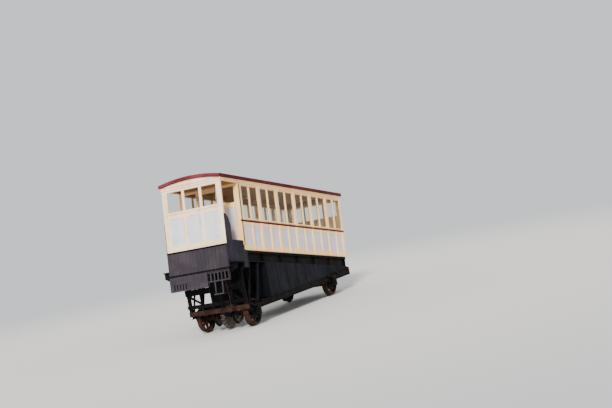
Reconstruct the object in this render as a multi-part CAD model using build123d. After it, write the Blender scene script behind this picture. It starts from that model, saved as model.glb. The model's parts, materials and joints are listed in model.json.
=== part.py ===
from build123d import *
import math
import os

# Funicular car with a wedge-shaped underframe, all sizes in millimetres.
# X runs along the rails (uphill is +X), Y across them, Z square to the rails.
# Z = 0 is the lowest point of the wheel flanges.
# The cabin has its own axes: H along the floor (uphill), Y across, U square to the floor.

# Running gear
tread_distance = 1500
wheel_radius = 360
flange_height = 28
flange_width = 32
tyre_width = 130
tyre_depth = 60
wheel_hub_radius = 105
wheel_hub_width = 170
spoke_count = 8
axle_radius = 62
journal_radius = 46
journal_clearance = 0.5
wheelbase = 4750
rack_pitch = 100
pinion_teeth = 21
pinion_width = 110
drum_radius = 235
drum_width = 90
drum_offset = 290

# Cabin and vestibule
body_tilt = 10.0
body_width = 1860
wall = 55
bay_count = 6
bay_pitch = 1000
post_width = 110
mullion_width = 45
corner_lead = 100
rear_post = 70
sill_depth = 130
window_sill = 860
window_top = 1760
belt_height = 790
belt_depth = 50
belt_proud = 16
belt_round = 9.6
wall_top = 1810
panel_recess = 12
panel_thickness = 8
panel_margin = 2
panel_head_gap = 95
glass_thickness = 6
vestibule_length = 950
corner_post = 90
corner_post_depth = 52
floor_top = 150
floor_thickness = 45

# Roof
cornice_depth = 178
roof_edge_depth = 92
roof_edge_width = 40
roof_rise = 100
roof_thickness = 30
roof_overhang = 50

# Underframe of the cabin
bearer_depth = 250
bearer_top = -50
bearer_face = 900
bearer_flange = 65
bearer_plate = 14
bearer_short = 20
bolster_depth = 120
bolster_half = 65
beam_width = 80
beam_fit = 1
girder_width = 70
girder_lift = 20
girder_lead = 60

# Chassis along the rails
sill_lift = 2035
rail_bar_bottom = 453
rail_bar_depth = 180
rail_bar_face = 900
rail_bar_flange = 30
rail_bar_plate = 12
headstock_width = 60
headstock_depth = 125
headstock_low = 525
lower_headstock = -430
upper_overhang = 1150
tank_front = 880
tank_wheel_gap = 480
front_member_lead = 90
middle_member_run = 1200
rear_member_run = 1000
spring_stand = 10
spring_leaves = 6
spring_leaf = 11
spring_width = 64
spring_half = 330
spring_set = 26
spring_seat = 18
box_height = 105

# Downhill end below the floor
skirt_thickness = 30
front_beam_low = -905
bar_width = 34
bar_thickness = 26
stirrup_low = -1120
stirrup_nose = 20

# Worked out from the sizes above
roof_edge_height = wall_top + cornice_depth
cabin_length = bay_count * bay_pitch
girder_bays = range(1, bay_count, 2)
tank_rear = wheelbase - tank_wheel_gap
upper_headstock = wheelbase + upper_overhang
skirt_face = -vestibule_length - skirt_thickness
half_width = body_width / 2
inner_half = half_width - wall
wheel_center = wheel_radius + flange_height
spring_end_z = wheel_center + box_height + spring_seat + spring_leaves * spring_leaf + spring_set
cabin_back = cabin_length - post_width / 2 + rear_post
roof_front = -vestibule_length - roof_overhang
roof_back = cabin_back + roof_overhang
roof_half = half_width + roof_overhang
tilt = math.radians(body_tilt)
far = 9000


def cabin_x(h, u):
    """X of a cabin point before the whole car is centred."""
    return h * math.cos(tilt) + u * math.sin(tilt)


# The origin lies under the middle of the car's length.
front_reach = cabin_x(skirt_face - stirrup_nose, stirrup_low - bar_thickness)
back_reach = cabin_x(roof_back, roof_edge_height + roof_rise)
shift = -(front_reach + back_reach) / 2
cabin_place = Pos(shift, 0, sill_lift) * Rot(0, body_tilt, 0)
lower_axle = shift
upper_axle = shift + wheelbase

os.makedirs("parts", exist_ok=True)
built = {}


def keep(name, shape):
    """Write one named sub-part."""
    built[name] = shape
    export_step(shape, f"parts/{name}.step")


def block(x0, x1, y0, y1, z0, z1):
    """A box from its low and high corners."""
    box = Box(x1 - x0, y1 - y0, z1 - z0)
    return Pos((x0 + x1) / 2, (y0 + y1) / 2, (z0 + z1) / 2) * box


def both_sides(shape):
    """A piece of the right side and its mirror image, as two solids."""
    return together([shape, mirror(shape, about=Plane.XZ)])


def together(shapes):
    """Separate solids kept in one node."""
    solids = []
    for shape in shapes:
        solids.extend(shape.solids())
    return Compound(solids)


def cabin(shape):
    """Place a piece that was modelled along the cabin floor."""
    return cabin_place * shape


def fuse(shapes):
    """One solid from touching pieces."""
    total = shapes[0]
    for shape in shapes[1:]:
        total = total + shape
    return total


# Roof outline across the car
def roof_face(top, half, rise, depth):
    """An arched band: its crown is rise above its edges."""
    lower = top - depth
    upper_arc = ThreePointArc((-half, top), (0, top + rise), (half, top))
    lower_arc = ThreePointArc((half, lower), (0, lower + rise), (-half, lower))
    left = Line((half, top), (half, lower))
    right = Line((-half, lower), (-half, top))
    return Plane.YZ * make_face([upper_arc, left, lower_arc, right])


def along(face, h0, h1):
    """Extrude a face that lies across the cabin from h0 to h1."""
    return Pos(h0, 0, 0) * extrude(face, h1 - h0)


def under_roof():
    """Everything from the underside of the roof boards upwards."""
    low = roof_edge_height - roof_thickness
    inner = roof_half - roof_edge_width
    tall = 4 * roof_rise
    face = roof_face(low + tall, inner, roof_rise, tall)
    return along(face, roof_front - roof_overhang, roof_back + roof_overhang)


def roof_shell():
    inner = roof_half - roof_edge_width
    face = roof_face(roof_edge_height, inner, roof_rise, roof_thickness)
    return along(face, roof_front + roof_edge_width, roof_back - roof_edge_width)


def roof_edge():
    inner = roof_half - roof_edge_width
    low = roof_edge_height - roof_edge_depth
    side = block(roof_front, roof_back, inner, roof_half, low, roof_edge_height)
    end_face = roof_face(roof_edge_height, inner, roof_rise, roof_edge_depth)
    front = along(end_face, roof_front, roof_front + roof_edge_width)
    back = along(end_face, roof_back - roof_edge_width, roof_back)
    return fuse([side, mirror(side, about=Plane.XZ), front, back])


cornice_proud = 8


def cornice():
    """The painted band between the wall tops and the roof boards, all round the car."""
    outer = half_width + cornice_proud
    front = -vestibule_length
    high = roof_edge_height + roof_rise
    side = block(front, cabin_back, inner_half, outer, wall_top, high)
    ends = [block(h0, h0 + wall, -inner_half, inner_half, wall_top, high)
            for h0 in (front, cabin_back - wall)]
    ring = fuse([side, mirror(side, about=Plane.XZ)] + ends)
    return ring - under_roof()


rib_rise = roof_rise * 0.93
rib_depth = 48
rib_width = 44


def roof_ribs():
    """Arched carlines under the roof boards, one at each post."""
    top = roof_edge_height - roof_thickness
    face = roof_face(top, inner_half, rib_rise, rib_depth)
    ribs = []
    for bay in range(0, bay_count + 1):
        h0 = bay * bay_pitch - rib_width / 2
        if bay == bay_count:
            h0 = h0 - post_width
        ribs.append(along(face, h0, h0 + rib_width) - under_roof())
    return together(ribs)


ceiling_slat_width = 58
ceiling_slat_pitch = 85
ceiling_slat_thickness = 12
ceiling_clearance = 0.5


def ceiling_slats():
    """Slats along the cabin, fixed under the ribs."""
    radius = (inner_half ** 2 + rib_rise ** 2) / (2 * rib_rise)
    crown = roof_edge_height - roof_thickness - rib_depth + rib_rise
    length = cabin_length - post_width
    middle = radius - ceiling_slat_thickness / 2 - ceiling_clearance
    reach = int((inner_half - ceiling_slat_width) / ceiling_slat_pitch)
    slats = []
    for row in range(-reach, reach + 1):
        angle = math.degrees(row * ceiling_slat_pitch / radius)
        slat = Box(length, ceiling_slat_width, ceiling_slat_thickness)
        turn = Rot(-angle, 0, 0) * Pos(0, 0, middle)
        slats.append(Pos(length / 2, 0, crown - radius) * turn * slat)
    return together(slats)


# Side walls
def side_lights():
    """The h range of each window light of one side."""
    lights = []
    for bay in range(bay_count):
        start = bay * bay_pitch + post_width / 2
        end = (bay + 1) * bay_pitch - post_width / 2
        middle = (start + end) / 2
        lights.append((start, middle - mullion_width / 2))
        lights.append((middle + mullion_width / 2, end))
    return lights


panel_top = belt_height - panel_head_gap
recess_depth = panel_recess + panel_thickness


def side_wall():
    """The right-hand wall, with its windows cut and a recess under each light for its panel."""
    outer = -half_width
    body = block(-corner_lead, cabin_back, outer, outer + wall, sill_depth, wall_top)
    body = body + block(0, cabin_back, outer, outer + wall, 0, sill_depth)
    for start, end in side_lights():
        body = body - block(start, end, outer, outer + wall, window_sill, window_top)
        body = body - block(start, end, outer, outer + recess_depth, sill_depth, panel_top)
    return body


def side_panels():
    """The painted panels of the right side, each bedded on the floor of its recess."""
    inner = -half_width + recess_depth
    panels = []
    for start, end in side_lights():
        panels.append(block(start + panel_margin, end - panel_margin, inner - panel_thickness, inner,
                            sill_depth + panel_margin, panel_top - panel_margin))
    return together(panels)


def side_glass():
    """One pane for each light of the right side, held in the middle of the wall."""
    middle = -half_width + wall / 2
    panes = []
    for start, end in side_lights():
        panes.append(block(start, end, middle - glass_thickness / 2, middle + glass_thickness / 2,
                           window_sill, window_top))
    return together(panes)


def belt_moulding():
    low = belt_height - belt_depth / 2
    face = -half_width
    strip = block(-corner_lead, cabin_back, face - belt_proud, face, low, low + belt_depth)
    edges = strip.edges().filter_by(Axis.X).group_by(Axis.Y)[0]
    return fillet(edges, belt_round)


# Bulkheads, with a middle opening between two side lights
door_width = 640
door_top = 1790
door_gap = 6
bulkhead_sill = 1300
bulkhead_stile = 75
door_post = 80
bulkhead_rail = 110


def bulkhead_bays(doorway):
    """The y range of each window bay of a bulkhead."""
    near = door_width / 2 + door_post
    away = inner_half - bulkhead_stile
    bays = [(near, away), (-away, -near)]
    if not doorway:
        bays.append((-door_width / 2, door_width / 2))
    return bays


def sunk(face, inward, start, depth):
    """The h range of a layer that starts so far inside a face and is so deep."""
    return sorted((face + inward * start, face + inward * (start + depth)))


def bulkhead(h0, doorway):
    """A wall across the cabin that starts at h0, with the door's opening in its middle or a window."""
    body = block(h0, h0 + wall, -inner_half, inner_half, floor_top, wall_top)
    outside, inward = (h0, 1) if doorway else (h0 + wall, -1)
    recess = sunk(outside, inward, 0, recess_depth)
    for low, high in bulkhead_bays(doorway):
        body = body - block(h0, h0 + wall, low, high, bulkhead_sill, window_top)
        body = body - block(*recess, low, high, floor_top + bulkhead_rail, bulkhead_sill - bulkhead_rail)
    if doorway:
        body = body - block(h0, h0 + wall, -door_width / 2, door_width / 2, floor_top, door_top)
    return body


def bulkhead_panels(h0, doorway):
    """The painted panels in the outer face of a bulkhead."""
    outside, inward = (h0, 1) if doorway else (h0 + wall, -1)
    layer = sunk(outside, inward, panel_recess, panel_thickness)
    panels = []
    for low, high in bulkhead_bays(doorway):
        panels.append(block(*layer, low + panel_margin, high - panel_margin,
                            floor_top + bulkhead_rail + panel_margin,
                            bulkhead_sill - bulkhead_rail - panel_margin))
    return together(panels)


def bulkhead_glass():
    """Panes of both bulkheads."""
    panes = []
    for h0, doorway in ((-corner_lead, True), (cabin_back - wall, False)):
        middle = h0 + wall / 2
        for low, high in bulkhead_bays(doorway):
            panes.append(block(middle - glass_thickness / 2, middle + glass_thickness / 2, low, high,
                               bulkhead_sill, window_top))
    return together(panes)


# Hinged door of the lower bulkhead
door_thickness = 38
door_stile = 90
door_rail = 110
door_head = 95
hinge_radius = 9
hinge_pin_radius = 5
hinge_fit = 0.5
hinge_length = 90
barrel_length = 40
hinge_stand = 3
strap_thickness = 4
strap_length = 150
arm_width = 14
hinge_heights = (330, 960, 1590)
hinge_h = -corner_lead - hinge_radius - hinge_stand
hinge_y = door_width / 2
door_half = door_width / 2 - door_gap
door_low = floor_top + door_gap
door_high = door_top - door_gap
handle_radius = 11
handle_height = 1060
handle_length = 170
handle_stand = 32
handle_inset = 45
handle_post = 9
handle_post_inset = 15


def door_handle():
    """An upright pull bar on two posts."""
    y = -door_half + handle_inset
    face = -corner_lead
    handle = Pos(face - handle_stand, y, handle_height) * Cylinder(handle_radius, handle_length)
    post = handle_post
    for end in (-1, 1):
        z = handle_height + end * (handle_length / 2 - handle_post_inset)
        handle = handle + block(face - handle_stand, face, y - post, y + post, z - post, z + post)
    return handle


def cabin_door():
    """The leaf with its window, its recesses, its hinge straps and its handle."""
    h0 = -corner_lead
    leaf = block(h0, h0 + door_thickness, -door_half, door_half, door_low, door_high)
    light = door_half - door_stile
    leaf = leaf - block(h0, h0 + door_thickness, -light, light, bulkhead_sill, door_top - door_head)
    for face, inward, depth in ((h0, 1, recess_depth), (h0 + door_thickness, -1, panel_recess)):
        leaf = leaf - block(*sunk(face, inward, 0, depth), -light, light, door_low + door_rail,
                            bulkhead_sill - door_rail)
    half = barrel_length / 2
    for height in hinge_heights:
        low, high = height - half, height + half
        strap = block(h0 - strap_thickness, h0, hinge_y - strap_length, door_half, low, high)
        arm = block(hinge_h, h0 - hinge_fit, hinge_y - arm_width, door_half, low, high)
        barrel = Pos(hinge_h, hinge_y, height) * Cylinder(hinge_radius, barrel_length)
        bore = Pos(hinge_h, hinge_y, height) * Cylinder(hinge_pin_radius + hinge_fit, 2 * barrel_length)
        leaf = leaf + strap + arm + barrel - bore
    return leaf + door_handle()


def door_panel():
    """The painted panel in the door's outer face."""
    light = door_half - door_stile - panel_margin
    layer = sunk(-corner_lead, 1, panel_recess, panel_thickness)
    return block(*layer, -light, light, door_low + door_rail + panel_margin,
                 bulkhead_sill - door_rail - panel_margin)


def door_glass():
    light = door_half - door_stile
    middle = -corner_lead + door_thickness / 2
    return block(middle - glass_thickness / 2, middle + glass_thickness / 2, -light, light,
                 bulkhead_sill, door_top - door_head)


knuckle_length = 18
pin_plate = 70
web_start = 3
web_end = 12


def door_hinge_pins():
    """Pins on the door frame that the door's barrels turn on, each in two fixed knuckles."""
    face = -corner_lead
    half = knuckle_length / 2
    pins = []
    for height in hinge_heights:
        pin = Pos(hinge_h, hinge_y, height) * Cylinder(hinge_pin_radius, hinge_length)
        for end in (-1, 1):
            z = height + end * (hinge_length / 2 - half)
            knuckle = Pos(hinge_h, hinge_y, z) * Cylinder(hinge_radius, knuckle_length)
            plate = block(face - strap_thickness, face, hinge_y, hinge_y + pin_plate, z - half, z + half)
            web = block(hinge_h, face - hinge_fit, hinge_y + web_start, hinge_y + web_end,
                        z - half, z + half)
            pin = pin + knuckle + plate + web
        pins.append(pin)
    return together(pins)


# Vestibule
end_sill = 1200
screen_low = 1150
screen_mullion = 60
screen_set_back = 8
screen_sill = 12
screen_sill_depth = 40
screen_bays = 3
dash_foot = 130
dash_head = 110
post_round = 14
end_half = half_width - corner_post
end_face = -vestibule_length + screen_set_back


def corner_posts():
    h0 = -vestibule_length
    post = block(h0, h0 + corner_post_depth, -half_width, -half_width + corner_post, floor_top, wall_top)
    edge = post.edges().filter_by(Axis.Z).group_by(Axis.Y)[0].group_by(Axis.X)[0]
    return both_sides(fillet(edge, post_round))


def end_bays():
    """The y range of each bay of the end, panel below and pane above."""
    width = (2 * end_half - (screen_bays + 1) * screen_mullion) / screen_bays
    starts = [-end_half + screen_mullion + bay * (width + screen_mullion) for bay in range(screen_bays)]
    return [(start, start + width) for start in starts]


def dash_panel():
    """The closed lower part of the end, with a recess in each bay."""
    back = -vestibule_length + wall
    body = block(end_face, back, -end_half, end_half, floor_top, screen_low)
    for y0, y1 in end_bays():
        body = body - block(*sunk(end_face, 1, 0, recess_depth), y0, y1,
                            floor_top + dash_foot, screen_low - dash_head)
    return body


def dash_panels():
    layer = sunk(end_face, 1, panel_recess, panel_thickness)
    panels = []
    for y0, y1 in end_bays():
        panels.append(block(*layer, y0 + panel_margin, y1 - panel_margin,
                            floor_top + dash_foot + panel_margin, screen_low - dash_head - panel_margin))
    return together(panels)


def body_panels():
    """Every painted panel of the fixed walls."""
    right = side_panels()
    return together([right, mirror(right, about=Plane.XZ), bulkhead_panels(-corner_lead, True),
                     bulkhead_panels(cabin_back - wall, False), dash_panels()])


def end_screen():
    """The glazed upper part of the end, with a sill rail that stands proud of the dash."""
    back = -vestibule_length + wall
    body = block(end_face, back, -end_half, end_half, screen_low, wall_top)
    body = body + block(-vestibule_length - screen_sill, end_face, -end_half, end_half, screen_low,
                        screen_low + screen_sill_depth)
    for y0, y1 in end_bays():
        body = body - block(end_face, back, y0, y1, end_sill, window_top)
    return body


def end_glass():
    middle = (end_face - vestibule_length + wall) / 2
    panes = []
    for y0, y1 in end_bays():
        panes.append(block(middle - glass_thickness / 2, middle + glass_thickness / 2, y0, y1,
                           end_sill, window_top))
    return together(panes)


def window_glass():
    """Every fixed pane of the car."""
    right = side_glass()
    return together([right, mirror(right, about=Plane.XZ), bulkhead_glass(), end_glass()])


skirt_low = -535
side_skirt_low = -470
side_skirt_top = 250
side_skirt_plate = 10
side_skirt_tail = 40
side_skirt_gap = 8
wing_top = 930
wing_head = 90
wing_reach = 280
wing_foot = 600
wing_bulge = 0.62
skirt_board = 120
groove_width = 8
groove_depth = 7


def board_grooves(face, y0, y1, low, high, pitch):
    """Cutters for the joints between upright boards."""
    count = round((y1 - y0) / pitch)
    step = (y1 - y0) / count
    cuts = []
    for index in range(1, count):
        y = y0 + index * step
        cuts.append(block(face - groove_depth, face + groove_depth, y - groove_width / 2,
                          y + groove_width / 2, low, high))
    return cuts


def end_skirt():
    """Upright boards under the dash, fixed to the ends of the bearers."""
    top = floor_top - door_gap
    skirt = block(skirt_face, -vestibule_length, -half_width, half_width, skirt_low, top)
    for cut in board_grooves(skirt_face, -half_width, half_width, skirt_low, top, skirt_board):
        skirt = skirt - cut
    return skirt


def side_skirt():
    """The dark plate beside the vestibule, with a wing that sweeps up to the corner post."""
    h0 = -vestibule_length
    wing = h0 + wing_reach
    head = h0 + wing_head
    upper = -corner_lead - side_skirt_gap
    notch = sill_depth - side_skirt_gap
    points = Polyline((wing, wing_foot), (wing, side_skirt_top), (upper, side_skirt_top), (upper, notch),
                      (-side_skirt_gap, notch), (-side_skirt_gap, -side_skirt_gap),
                      (side_skirt_tail, -side_skirt_gap), (side_skirt_tail, side_skirt_low),
                      (h0, side_skirt_low), (h0, wing_top), (head, wing_top))
    shoulder = (head + wing_bulge * (wing - head), wing_foot + wing_bulge * (wing_top - wing_foot))
    sweep_up = ThreePointArc((head, wing_top), shoulder, (wing, wing_foot))
    plate = extrude(Plane.XZ * make_face([points, sweep_up]), side_skirt_plate)
    return Pos(0, -half_width, 0) * plate


# Front beam under the vestibule's end: a boarded box on the left, open bars and a stirrup on the right
front_beam_depth = 95
front_beam_end = -250
front_board = 93
front_gap = 1
vent_rows = (430, 520, 610, 700, 790)
vent_width = 34
vent_low = 30
vent_height = 150
bar_rows = (-340, -450, -560, -670, -780, -890)
bar_low = -800
stirrup_rows = (-450, -670)
hanger_rows = (-870, -300, 300, 870)
hanger_half = 30
hanger_plate = 14
hanger_shelf = 110


def front_beam():
    """The box, its vents, the bars and the stirrup step, on hangers from the bearers."""
    h0 = skirt_face
    h1 = h0 + front_beam_depth
    top = skirt_low - front_gap
    box = block(h0, h1, front_beam_end, half_width, front_beam_low, top)
    for cut in board_grooves(h0, front_beam_end, half_width, front_beam_low, top, front_board):
        box = box - cut
    for y in vent_rows:
        low = front_beam_low + vent_low
        box = box - block(h0, h0 + 2 * bar_thickness, y - vent_width / 2, y + vent_width / 2, low,
                          low + vent_height)
    beam = box
    bar_h = h0 + bar_thickness
    beam = beam + block(bar_h, h1, -half_width, front_beam_end, top - bar_width, top)
    for y in bar_rows:
        low = stirrup_low if y in stirrup_rows else bar_low
        beam = beam + block(bar_h, bar_h + bar_thickness, y - bar_width / 2, y + bar_width / 2, low, top)
    beam = beam + block(bar_h, bar_h + bar_thickness, bar_rows[-1], front_beam_end, bar_low,
                        bar_low + bar_width)
    right, left = sorted(stirrup_rows)
    beam = beam + block(h0 - stirrup_nose, h1, right - bar_width, left + bar_width,
                        stirrup_low - bar_thickness, stirrup_low)
    for y in hanger_rows:
        y0, y1 = y - hanger_half, y + hanger_half
        seat = bearer_top - bearer_depth
        if abs(y) < bearer_face - bearer_flange:
            seat = seat + girder_lift
        low = bar_low if y < front_beam_end else front_beam_low
        beam = beam + block(h1, h1 + hanger_plate, y0, y1, low, seat)
        beam = beam + block(h1, h1 + hanger_shelf, y0, y1, seat - hanger_plate, seat)
        if y < front_beam_end:
            beam = beam + block(bar_h, h1, y0, y1, top - bar_width, top)
    return beam


step_reach = 190
step_top = -350
step_board = 32
step_start = -vestibule_length
step_length = 520
bracket_thickness = 12
bracket_inset = 60
bracket_root = -620
bracket_tip = -520


def side_steps():
    """Tread boards beside the end of the vestibule, on two deep plate brackets each."""
    face = -half_width - side_skirt_plate
    outer = face - step_reach
    low = step_top - step_board
    h1 = step_start + step_length
    step = block(step_start, h1, outer, face, low, step_top)
    gusset = Polyline((face, low), (face, bracket_root), (outer, bracket_tip), (outer, low), close=True)
    for h in (step_start + bracket_inset, h1 - bracket_inset - bracket_thickness):
        step = step + along(Plane.YZ * make_face(gusset), h, h + bracket_thickness)
    return both_sides(step)


# Cabin underframe
def bearer():
    """A long channel under the right side, its flanges outwards."""
    face = -bearer_face
    h0 = -vestibule_length
    h1 = cabin_back - bearer_short
    low = bearer_top - bearer_depth
    web_y = face + bearer_flange
    web = block(h0, h1, web_y, web_y + bearer_plate, low, bearer_top)
    top = block(h0, h1, face, web_y, bearer_top - bearer_plate, bearer_top)
    foot = block(h0, h1, face, web_y, low, low + bearer_plate)
    return web + top + foot


def floor_beams():
    """Timbers across the bearers, one below each post and two below the vestibule."""
    half = inner_half - beam_fit
    places = [-vestibule_length + beam_width, -vestibule_length / 2]
    places += [bay * bay_pitch for bay in range(bay_count)]
    places += [cabin_back - beam_width]
    beams = []
    for h in places:
        beams.append(block(h - beam_width / 2, h + beam_width / 2, -half, half, bearer_top,
                           floor_top - floor_thickness))
    return together(beams)


def cross_girders():
    """Steel beams between the two bearers, and the bolster under them over the trestle."""
    web = bearer_face - bearer_flange - bearer_plate
    low = bearer_top - bearer_depth
    half = girder_width / 2
    girders = []
    for h in [-vestibule_length + girder_lead] + [bay * bay_pitch for bay in girder_bays]:
        girders.append(block(h - half, h + half, -web, web, low + girder_lift, bearer_top))
    h = (lower_headstock - (low - bolster_depth / 2) * math.sin(tilt)) / math.cos(tilt)
    girders.append(block(h - bolster_half, h + bolster_half, -bearer_face, bearer_face,
                         low - bolster_depth, low))
    return together(girders)


def cabin_floor():
    """Floor boards of the cabin and the vestibule, one level throughout."""
    low = floor_top - floor_thickness
    inside = block(-vestibule_length, cabin_back, -inner_half, inner_half, low, floor_top)
    porch = block(-vestibule_length, -corner_lead - side_skirt_gap, -half_width, half_width, low, floor_top)
    return inside + porch


# Benches along both walls
seat_height = 430
seat_depth = 400
seat_slat = 66
seat_slats = 5
slat_thickness = 22
bench_end_gap = 60
back_slats = 2
back_slat_stand = 22
back_slat_depth = 80
back_slat_pitch = 105
back_slat_lift = 60
frame_half = 20
frame_bar = 45
frame_inset = 120


def bench_slats():
    """Seat and back slats of both benches, the length of the cabin."""
    slats = []
    h0 = bench_end_gap
    h1 = cabin_back - wall - bench_end_gap
    top = floor_top + seat_height
    back = -inner_half + back_slat_stand
    pitch = seat_depth / seat_slats
    for row in range(seat_slats):
        y0 = back + row * pitch
        slats.append(block(h0, h1, y0, y0 + seat_slat, top - slat_thickness, top))
    for row in range(back_slats):
        z0 = top + back_slat_lift + row * back_slat_pitch
        slats.append(block(h0, h1, back, back + slat_thickness, z0, z0 + back_slat_depth))
    right = together(slats)
    return together([right, mirror(right, about=Plane.XZ)])


def bench_frames():
    """A bar, a leg and an upright under the slats at each post."""
    frames = []
    seat = floor_top + seat_height
    top = seat - slat_thickness
    low = top - frame_bar
    high = seat + back_slat_lift + (back_slats - 1) * back_slat_pitch + back_slat_depth
    front = -inner_half + seat_depth
    for bay in range(bay_count + 1):
        h = min(max(bay * bay_pitch, frame_inset), cabin_back - wall - frame_inset)
        h0, h1 = h - frame_half, h + frame_half
        bar = block(h0, h1, -inner_half, front, low, top)
        leg = block(h0, h1, front - frame_bar, front, floor_top, top)
        back = block(h0, h1, -inner_half, -inner_half + back_slat_stand, low, high)
        frames.append(bar + leg + back)
    right = together(frames)
    return together([right, mirror(right, about=Plane.XZ)])


# Hand brake and grab rails of the vestibule
brake_y = -480
brake_lead = 260
brake_h = -vestibule_length + brake_lead
brake_top = 1010
brake_base_radius = 95
brake_base = 20
brake_cone_root = 70
brake_cone_tip = 34
brake_cone_height = 160
brake_shaft_radius = 26
brake_wheel_radius = 190
brake_rim_radius = 14
brake_rim_sides = 8
brake_hub_radius = 38
brake_spokes = 5
brake_spoke_turn = 0.25
brake_spoke_width = 20
brake_spoke_depth = 12
brake_grip_radius = 13
brake_grip = 110
rail_stand = 45
rail_inset = 40
rail_low = 700
rail_high = 1500
rail_radius = 12
rail_bend = 30


def brake_column():
    """The hand brake's upright shaft in a cone on a round foot."""
    post = Pos(brake_h, brake_y, floor_top)
    base = post * Pos(0, 0, brake_base / 2) * Cylinder(brake_base_radius, brake_base)
    cone = post * Pos(0, 0, brake_base + brake_cone_height / 2)
    cone = cone * Cone(brake_cone_root, brake_cone_tip, brake_cone_height)
    length = brake_top - floor_top
    shaft = post * Pos(0, 0, length / 2) * Cylinder(brake_shaft_radius, length)
    return base + cone + shaft


def brake_wheel():
    """A flat handwheel with an eight-sided rim, five spokes and an upright grip."""
    center = Pos(brake_h, brake_y, brake_top + brake_rim_radius)
    section = Pos(brake_wheel_radius, 0, 0) * (Plane.XZ * RegularPolygon(brake_rim_radius, brake_rim_sides))
    wheel = revolve(section, Axis.Z) + Cylinder(brake_hub_radius, 2 * brake_rim_radius)
    spoke = Box(brake_wheel_radius, brake_spoke_width, brake_spoke_depth)
    for index in range(brake_spokes):
        turn = Rot(0, 0, 360 * (index + brake_spoke_turn) / brake_spokes)
        wheel = wheel + turn * Pos(brake_wheel_radius / 2, 0, 0) * spoke
    wheel = wheel + Pos(-brake_wheel_radius, 0, brake_grip / 2) * Cylinder(brake_grip_radius, brake_grip)
    return center * wheel


def grab_rails():
    """Upright rails on the lower bulkhead, beside the way in."""
    foot = -corner_lead
    h = foot - rail_stand
    path = FilletPolyline((foot, 0, rail_low), (h, 0, rail_low), (h, 0, rail_high),
                          (foot, 0, rail_high), radius=rail_bend)
    rail = sweep(Plane(origin=path @ 0, z_dir=path % 0) * Circle(rail_radius), path)
    return both_sides(Pos(0, -inner_half + rail_inset, 0) * rail)


# Chassis
rail_bar_top = rail_bar_bottom + rail_bar_depth
arch_half = 125
arch_rise = 110
arch_top = rail_bar_bottom + arch_rise
hanger_block = 50
hanger_gap = 0.3
member_half = 45
member_inset = 10
member_places = (tank_front - front_member_lead, tank_front + middle_member_run,
                 tank_rear - rear_member_run)


def arch_cut(axle_x):
    """Room for an axle box and its spring in a rail bar."""
    return block(axle_x - arch_half, axle_x + arch_half, -far, far, 0, arch_top)


def rail_bar():
    """The right-hand long bar of the chassis, a channel with its flanges outwards."""
    x0 = shift + lower_headstock + headstock_width / 2
    x1 = shift + upper_headstock - headstock_width / 2
    web_y = -rail_bar_face
    web = block(x0, x1, web_y, web_y + rail_bar_plate, rail_bar_bottom, rail_bar_top)
    foot = block(x0, x1, web_y - rail_bar_flange, web_y, rail_bar_bottom, rail_bar_bottom + rail_bar_plate)
    head = block(x0, x1, web_y - rail_bar_flange, web_y, rail_bar_top - rail_bar_plate, rail_bar_top)
    bar = web + foot + head
    for axle_x in (lower_axle, upper_axle):
        bar = bar - arch_cut(axle_x)
        for end in (-1, 1):
            tip = axle_x + end * spring_half
            x0, x1 = sorted((tip, tip - end * hanger_block))
            bar = bar + block(x0, x1, web_y - spring_stand - spring_width, web_y,
                              spring_end_z + hanger_gap, rail_bar_top - rail_bar_plate)
    return bar


def at_each_wheel(maker):
    """A piece at each of the four wheels, from the maker of a right-hand one."""
    right = together([maker(x) for x in (lower_axle, upper_axle)])
    return together([right, mirror(right, about=Plane.XZ)])


def headstock(x, low, high):
    """A box beam across the chassis."""
    half = headstock_width / 2
    return block(x - half, x + half, -half_width, half_width, low, high)


def cross_members():
    """Channels between the rail bars, clear of the wheels and the rack pinion."""
    web = rail_bar_face - rail_bar_plate
    members = []
    for place in member_places:
        x = shift + place
        members.append(block(x - member_half, x + member_half, -web, web,
                             rail_bar_bottom + member_inset, rail_bar_top - member_inset))
    return together(members)


guard_thickness = 16
guard_face = rail_bar_face - rail_bar_plate - guard_thickness
guard_low = 215
guard_half_top = 340
guard_half_low = 170
guard_stay = 22
guard_drop = 15
box_half = 100
box_foot = 95
box_fit = 1
box_lip = 32
box_cover = 11
box_chamfer = 25
box_end_wall = 22
box_inner = guard_face - box_lip
box_outer = rail_bar_face + spring_stand + spring_width + box_cover


def axle_guard(axle_x):
    """A horn plate with a slot for the axle box, closed by a stay below."""
    top = rail_bar_top - guard_drop
    shape = Polyline((-guard_half_top, top), (guard_half_top, top), (guard_half_low, guard_low),
                     (-guard_half_low, guard_low), close=True)
    plate = extrude(Plane.XZ * make_face(shape), guard_thickness)
    plate = Pos(axle_x, -guard_face, 0) * plate
    half = box_half + box_fit
    slot = block(axle_x - half, axle_x + half, -far, far, guard_low + guard_stay, arch_top)
    return plate - slot


def axle_box(axle_x):
    """A cast box round the journal, closed on its outer face."""
    body = block(axle_x - box_half, axle_x + box_half, -box_outer, -box_inner,
                 wheel_center - box_foot, wheel_center + box_height)
    edges = body.edges().filter_by(Axis.Z).group_by(Axis.Y)[0]
    body = chamfer(edges, box_chamfer)
    middle = -(box_inner + box_outer - box_end_wall) / 2
    bore_depth = box_outer - box_end_wall - box_inner
    bore = Cylinder(journal_radius + journal_clearance, bore_depth)
    return body - Pos(axle_x, middle, wheel_center) * Rot(90, 0, 0) * bore


buckle_half = 32
buckle_height = 100
buckle_side = 6
short_leaf = 110


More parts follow.
